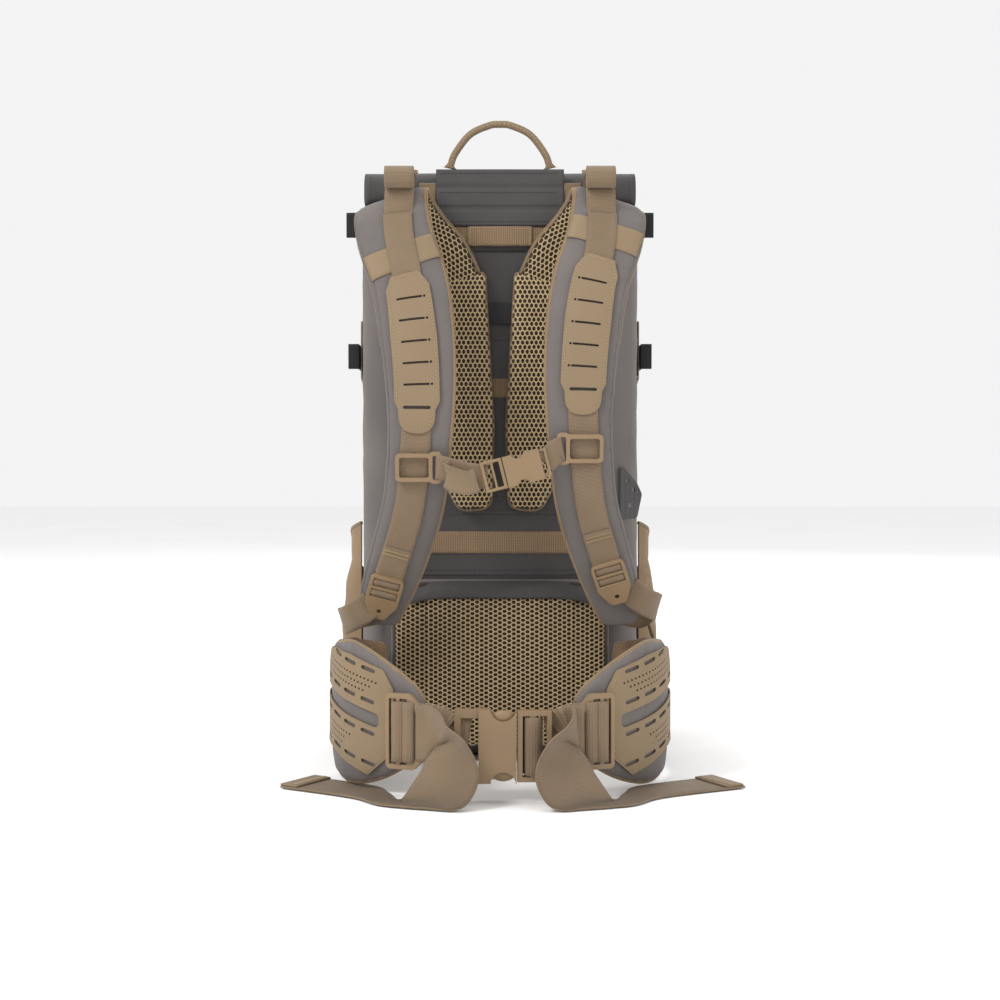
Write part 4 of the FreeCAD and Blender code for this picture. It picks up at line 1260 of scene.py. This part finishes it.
def wing_outline():
    """The laser-cut panel's edge as (distance along the wing, height)."""
    upper = [(d, min(row_height(d, 119.5), on_wing(d)[3] - 6)) for d in (38, 60, 85, 110, 137, 170)]
    lower = [(155, 15), (135, 22), (110, 31), (85, 34), (60, 38), (38, 40)]
    return upper + [(179, 86), (181, 66), (179, 44), (172, 29)] + lower


def make_wing_panel(side, sign):
    body = f"wing_{side}"
    holes = []
    for z in (114, 89, 63.5, 38.5):
        for d in (61, 80, 99, 118, 137, 156):
            if np.interp(d, (38, 110, 152), (45, 36, 20)) < row_height(d, z) < min(111, on_wing(d)[3] - 10):
                holes.append(rounded_slot(d, row_height(d, z), 14, 3.2, -0.25 if d > 85 else 0))
    for z, first, last in ((105.5, 90, 165), (100.5, 80, 159), (95.5, 70, 152), (54.5, 104, 139),
                           (49.5, 104, 133), (44.5, 104, 127)):
        holes += [round_hole(d, row_height(d, z), 0.95) for d in np.arange(first, last, 3.7)]
    window = [(62 + 105 * t, row_height(62 + 105 * t, 81)) for t in np.linspace(0, 1, 7)]
    window += [(62 + 105 * t, row_height(62 + 105 * t, 69.5)) for t in np.linspace(1, 0, 7)]
    radii = [3] + [0.01] * 5 + [4.8, 4.8] + [0.01] * 5 + [3]
    holes.append(rounded_outline(window, radii, arc=4))

    def place(u, v):
        centre, out, foot, top = on_wing(u)
        half = (top - foot) / 2
        proud = crown(WING_THICK, abs(v - (top + foot) / 2) / half) + 1.0
        return flipped(centre + out * proud + Z * v, sign), flipped(out, sign)

    corners = wing_outline()
    radii = [6] + [0.01] * 4 + [5, 4, 6, 6, 5, 4] + [0.01] * 4 + [6]
    edge = rounded_outline(corners, radii, arc=4)
    cut_panel(f"wing_panel_{side}_cut", edge, holes, place, body, thick=1.1, grid=6,
              stands_for=[f"wing_panel_{side}"], slot="laminate")
    middle = np.mean(edge, axis=0)
    ring = resampled([tuple(middle + (np.array(p) - middle) * [0.962, 0.955]) for p in edge], 220)
    stitched_ring(f"wing_panel_{side}_thread", ring, place, body)


def make_adjuster(side, sign):
    """The belt adjuster with the webbing wrapped over its bars."""
    body = f"wing_{side}"
    rounded_copy(f"belt_adjuster_{side}", "plastic", 0.9)
    inward = unit([33, -13, 0])
    outward = unit([-13, -33, 0])
    origin = np.array([-76, -289.5, ADJUSTER_Z])
    profile = [(-5.2, -4.2), (-4.6, 0.2), (-2.6, 1.9), (0, 2.3), (2.6, 1.9), (4.4, 0.4), (4.9, -3.6)]
    for i, centre in enumerate((-5.3, 4.1)):
        points = [origin + inward * (centre + a) + outward * d for a, d in profile]
        ribbon(f"adjuster_wrap_{side}_{i}", points, Z, BELT_WEB + 3, "webbing", body, 1.4, 5, sign)


# the loose end of the belt: its two edges, from the adjuster through a half twist to the floor
TAIL_FRONT = [
    (66, -297.5, 77), (57, -300.5, 77), (47, -312, 73), (41, -324, 64), (28, -330, 54), (18, -327, 36),
    (17, -328, 21), (25, -331, 6), (37, -333, 1.4), (55, -327, 1.4), (75, -320, 1.4), (96, -309, 1.4),
    (120, -280, 1.4), (180, -240.7, 1.4),
]
TAIL_REAR = [
    (66, -297.5, 32.5), (57, -300.5, 32.5), (51, -298, 36), (47.5, -295.5, 42), (46, -297, 48),
    (53, -303, 41), (58, -304, 34), (62, -306, 26), (69, -306, 15), (76, -304, 5), (82, -290, 1.6),
    (89, -269.6, 1.6), (103, -241, 1.6), (155.6, -203, 1.6),
]


def make_belt_webbing():
    near = [(-84, -279, ADJUSTER_Z), (-70, -284.5, ADJUSTER_Z), (-60, -288.8, ADJUSTER_Z)]
    left = near + [(-55, -290.5, ADJUSTER_Z), (-49, -290.8, 51.5), (-43, -291.6, 48), (-25, BUCKLE_Y, 45)]
    ribbon("belt_tape_left", left, Z, BELT_WEB, body="wing_left", stands_for=["belt_tail_left"])
    right = near + [(-56, -290.2, ADJUSTER_Z), (-52, -290.4, 51.5), (-47.6, -291.2, 48), (-38, BUCKLE_Y, 46)]
    ribbon("belt_tape_right", right, Z, BELT_WEB, body="wing_right", sign=1, stands_for=["belt_tail_right"])
    for side, sign, shift, reach in (("left", -1, 0, 0), ("right", 1, 11, 21)):
        body = f"wing_{side}"
        ease = np.clip(np.arange(len(TAIL_FRONT)) - 1, 0, 1)[:, None]
        move = ease * [shift, 0, 0]
        move[-1, 0] = reach
        front, rear = (smoothed(np.array(rail) + move, 8) for rail in (TAIL_FRONT, TAIL_REAR))
        rows = [[flipped(a + (b - a) * t, -sign) for t in np.linspace(0, 1, 13)] for a, b in zip(front, rear)]
        sheet_piece(f"belt_end_{side}", rows, 1.7, "webbing", body, slot="webbing")
        centres = [(-x, y, z) for x, y, z in (front + rear) / 2]
        acrosses = [(-x, y, z) for x, y, z in unit(front - rear)]
        tip = np.array(centres[-1], float)
        back = unit(np.array(centres[-4]) - tip)
        hem = [tip + Z * 1.9, tip + back * 9 + Z * 1.9, tip + back * 17 + Z * 1.8]
        ribbon(f"belt_hem_{side}", hem, acrosses[-1], BELT_WEB - 0.6, "webbing", body, 1.6, sign=sign)
        middle = tip + back * 13 + Z * 3.0
        line = np.array([middle + unit(acrosses[-1]) * u for u in np.linspace(-20, 20, 14)])
        threads(f"belt_hem_{side}_thread", zigzag(flipped(line, sign), Z, 3.4, 1.2), body)
    for half in ("female", "male"):
        rounded_copy(f"hip_buckle_{half}", "plastic", 0.6)
    profile = [(18.5, -286.5), (20.5, -295.5), (23, -298.6), (26, -299.4), (29, -298.6), (31.5, -295.5),
               (33, -287)]
    ribbon("hip_buckle_wrap", [(x, y, BELT_Z) for x, y in profile], Z, 46, "webbing", "wing_right", 1.5, 5)
    for label, way in (("upper", 1), ("lower", -1)):
        rounded_copy(f"hip_prong_{label}", "plastic", 0.7)
        make_prong_button(label, np.array([2.5, BUCKLE_Y, BELT_Z + way * 22.5]))


BUTTON_HALF = (9.2, 4.2, 5.6)
BUTTON_ROUND = 2.6
BUTTON_RINGS = 12
BUTTON_SIDES = 32


def make_prong_button(label, middle):
    """The rounded press button at a prong's shoulder."""
    wide, deep, high = BUTTON_HALF
    vertices = []
    for tall in np.linspace(-0.999, 0.999, BUTTON_RINGS):
        swell = (1 - abs(tall) ** BUTTON_ROUND) ** (1 / BUTTON_ROUND)
        for k in range(BUTTON_SIDES):
            a = 2 * math.pi * k / BUTTON_SIDES
            vertices.append(middle + [wide * swell * math.cos(a), deep * tall, high * swell * math.sin(a)])
    faces = rings(BUTTON_RINGS, BUTTON_SIDES)
    faces += [tuple(range(BUTTON_SIDES))[::-1], ring_end(BUTTON_RINGS, BUTTON_SIDES)]
    piece(f"hip_prong_{label}_button", vertices, faces, "plastic", f"hip_prong_{label}")


# ---------------------------------------------------------------- handle, pockets, rear

def make_handle():
    """A rolled webbing loop whose feet open out flat behind the flap."""
    route = [(-44.5, 529.4), (-43.6, 533), (-39.6, 543), (-26.6, 559.4), (-9.6, 567.4), (0, 568.4)]
    route = route + [(-x, z) for x, z in route[-2::-1]]
    centres = smoothed([(x, -104.5, z) for x, z in route], 8)
    _, across, normal = framed(centres, np.repeat([Y], len(centres), 0))
    share = np.abs(np.linspace(-1, 1, len(centres)))
    flare = np.clip((share - 0.80) / 0.2, 0, 1)
    angles = np.arange(16) / 16 * 2 * math.pi
    seam = 1 - 0.16 * np.exp(-((angles - 4.7) / 0.35) ** 2)
    loops = np.stack([np.cos(angles)[None] * (3.3 - 1.2 * flare)[:, None] * seam,
                      np.sin(angles)[None] * (3.3 + 3.4 * flare)[:, None] * seam], -1)
    v, f, u = sweep(centres, across, normal, loops)
    piece("handle_roll", v, f, "webbing", "haul_handle", u, stands_for=["haul_handle"], slot="webbing")
    line = centres[10:-10] - Y * 3.2
    threads("handle_thread", running(line, -Y, 2.4, 1.4), "haul_handle")


def make_pocket(side, sign):
    """A stretch side pocket standing open, with a bound lip."""
    plan = smoothed([(-127.8, -61), (-137, -56), (-145.5, -47), (-147.2, -30), (-147.6, 0), (-147, 28),
                     (-145, 44), (-137, 53), (-127.8, 59)], 7)
    rows = []
    for t in np.linspace(0, 1, 40):
        lip = 211.5 - (plan[:, 1] + 62) * 0.45
        z = 22.5 + (lip - 22.5) * t
        bulge = 0.55 + 0.45 * math.sin(math.pi * min(1, t * 1.1 + 0.08)) ** 0.6
        x = -127.8 + (plan[:, 0] + 127.8) * bulge
        row = np.stack([x, plan[:, 1], z], 1)
        folds = soft(row * [1, 1, 1.6], 34, 6 + sign) * 2.2 * math.sin(math.pi * t)
        row[:, 0] += folds * np.clip(-127.8 - x, 0, 8) / 8
        rows.append(row)
    grid = flipped(rows, sign)
    sheet_piece(f"side_pocket_{side}_cloth", grid, 1.4, "tan_cloth", stands_for=[f"side_pocket_{side}"],
                slot="tan_fabric")
    tube_piece(f"side_pocket_{side}_lip", grid[-1], 1.7, "webbing", slot="webbing")


# each side strap's label, height, run along the bag, and how far its front tab stands out
SIDE_STRAPS = (
    ("upper", 484, [(-113, -101, 484), (-124, -88, 484), (-128.8, -66, 484), (-128.8, -30, 478),
                    (-128.2, -8, 470)], (-128.6, -135, -140.5)),
    ("lower", 364, [(-130, -66, 364), (-130.4, -30, 364), (-130.4, 0, 364), (-130.4, 40, 364),
                    (-129.6, 62, 364)], (-129.6, -134, -139)),
)


def make_side_straps():
    for side, sign in SIDES:
        for label, z, run, stub in SIDE_STRAPS:
            ribbon(f"side_strap_{side}_{label}", run, Z, 23, "black_webbing", sign=sign,
                   stands_for=["side_straps"] if (side, label) == ("left", "upper") else ())
            tab = [(x, y, z) for x, y in zip(stub, (-67, -67.6, -67.2))]
            ribbon(f"side_tab_{side}_{label}", tab, Z, 23, "black_webbing", sign=sign, thick=2.6)
        outline = rounded_outline([(-60, 344), (10, 330), (10, 392), (-60, 398)], 6)
        holes = [rounded_slot(v, 346 + row * 11.5, 16, 2, 0) for row in range(4) for v in (-46, -25, -4)]
        cut_panel(f"side_panel_{side}", outline, holes,
                  lambda u, v, sign=sign: (flipped([-127.2, u, v], sign), flipped([-1, 0, 0], sign)),
                  "pack", thick=1.1, grid=12, slot="laminate",
                  stands_for=["slotted_panels"] if side == "left" else ())


def make_rear():
    y = BAG_REAR
    outline = rounded_box(-88, 88, 46, 312, 24, arc=8)
    rise = dome(outline, 3.4, 6)

    def rumpled(u, v):
        spots = np.stack([u, 0 * u, v], -1)
        return -0.5 * soft(spots, 30, 12) - 0.3 * soft(spots, 12, 13)

    made = pad("rear_pocket_cloth", outline, -y - 0.3, rise, "charcoal", rumpled, rows_up=20,
               stands_for=["rear_panel"], slot="charcoal_fabric")
    turn_round(made)
    outline = rounded_box(-46, 46, 92, 276, 12)
    holes = [rounded_slot(c, 106 + 26 * r, 22, 3) for r in range(7) for c in (-28, 0, 28)]
    cut_panel("rear_slotted_panel", outline, holes, lambda u, v: (np.array([u, y + 3.5, v]), Y), "pack",
              grid=12, slot="laminate")
    edge = resampled([(u * 0.93, 184 + (v - 184) * 0.965) for u, v in outline], 150)
    threads("rear_panel_thread", running(on_plane(edge, y + 5.0), Y))

    ribbon("zip_tape", [(64, y + 4.0, z) for z in np.linspace(84, 296, 6)], X, 16, "black_webbing", thick=0.9,
           stands_for=["zipper_tape"])
    parts = []
    for i, z in enumerate(np.arange(86, 278, 2.0)):
        way = 1 if i % 2 else -1
        tooth = smoothed([(64 + way * 1.9, y + 4.4, z), (64 - way * 0.4, y + 4.4, z)], 2)
        parts.append(tube_mesh(tooth, 0.4, 5))
    v, f, u = joined(parts)
    piece("zip_teeth", v, f, "black_plastic", "pack", u, slot="black_webbing")
    rounded_copy("zip_slider", "black_plastic", 0.8)
    rounded_copy("zip_pull", "black_plastic", 0.4)
    rounded_copy("rear_glides", "black_plastic", 0.7)
    rounded_copy("lash_tab", "charcoal", 0.3)

    reach = BAG_CORNER + 1.2
    corner = np.array([BAG_HALF - BAG_CORNER, BAG_REAR - BAG_CORNER])
    wrap = [tuple(corner + reach * np.array([math.cos(math.radians(a)), math.sin(math.radians(a))]))
            for a in (85, 68, 51, 34, 17, 4)]
    for z, deep in ((66, y + 4.6), (350, y + 1.6)):
        for side, sign in SIDES:
            run = [(-17, deep, z), (-86, deep, z)] + [(-a, b, z) for a, b in wrap]
            ribbon(f"rear_strap_{side}_{z}", run, Z, STRAP_WEB, "black_webbing", thick=1.6, sign=sign,
                   stands_for=["rear_straps"] if (z, side) == (66, "left") else ())
        bridge = [(-14, deep + 0.2, z), (-5, deep + 2.2, z), (5, deep + 2.2, z), (14, deep + 0.2, z)]
        ribbon(f"glide_bridge_{z}", bridge, Z, STRAP_WEB - 1, "black_webbing", thick=1.4)


def turn_round(made):
    """Turns a piece built on the harness side to face the rear."""
    for vertex in made.data.vertices:
        vertex.co.y *= -1
    made.data.flip_normals()


# ---------------------------------------------------------------- carried-over CAD, stage and light

def finish_hidden_parts():
    """The frame sheet, stays and lumbar plate stay as the CAD has them, with their own materials."""
    by_slot = {"frame_plastic": "frame_plastic", "stay_metal": "metal", "black_plastic": "black_plastic",
               "tan_plastic": "plastic", "webbing": "webbing", "black_webbing": "black_webbing",
               "grey_fabric": "grey", "charcoal_fabric": "charcoal", "mesh": "knit", "laminate": "laminate",
               "tan_fabric": "tan_cloth"}
    slots = {s["node"]: s["material_slot"] for s in frame["record"]["subparts"]}
    for name, node in NODES.items():
        node.data.materials.clear()
        node.data.materials.append(M[by_slot[slots[name]]])


def make_stage():
    floor = bpy.data.meshes.new("floor")
    floor.from_pydata([(-6, -4, 0), (6, -4, 0), (6, 8, 0), (-6, 8, 0)], [], [(0, 1, 2, 3)])
    s = Shader("pale_floor", roughness=0.9, specular=0.1)
    s.colour(s.mix(s.noise(3), linear((246, 246, 246)), linear((252, 252, 252))))
    floor.materials.append(s.material)
    made = bpy.data.objects.new("floor", floor)
    made.location.z = -0.0005
    bpy.context.scene.collection.objects.link(made)

    world = bpy.data.worlds.new("studio")
    world.use_nodes = True
    world.node_tree.nodes["Background"].inputs["Color"].default_value = linear((255, 255, 255))
    world.node_tree.nodes["Background"].inputs["Strength"].default_value = 0.9
    bpy.context.scene.world = world
    for name, where, size, power in (("key", (-1.5, -1.6, 2.0), 0.7, 34), ("fill", (1.9, -1.5, 1.2), 1.4, 7),
                                     ("top", (0, 0.3, 2.6), 1.2, 16), ("rear", (0.6, 2.4, 1.8), 1.6, 16)):
        light = bpy.data.lights.new(name, "AREA")
        light.energy = power
        light.size = size
        lamp = bpy.data.objects.new(name, light)
        lamp.location = where
        lamp.rotation_euler = (Vector((0, 0, 0.25)) - Vector(where)).to_track_quat("-Z", "Y").to_euler()
        bpy.context.scene.collection.objects.link(lamp)


make_bag()
make_roll_top()
make_back_panel()
make_panel_webbing()
make_pads()
for side, sign in SIDES:
    make_strap(side, sign)
    make_strap_webbing(side, sign)
    make_strap_panel(side, sign)
    make_cross_band(side, sign)
    make_locks(side, sign)
    make_wing(side, sign)
    make_wing_panel(side, sign)
    make_adjuster(side, sign)
    make_pocket(side, sign)
make_sternum()
make_belt_webbing()
make_handle()
make_side_straps()
make_rear()
finish_hidden_parts()
make_stage()

bpy.context.view_layer.update()
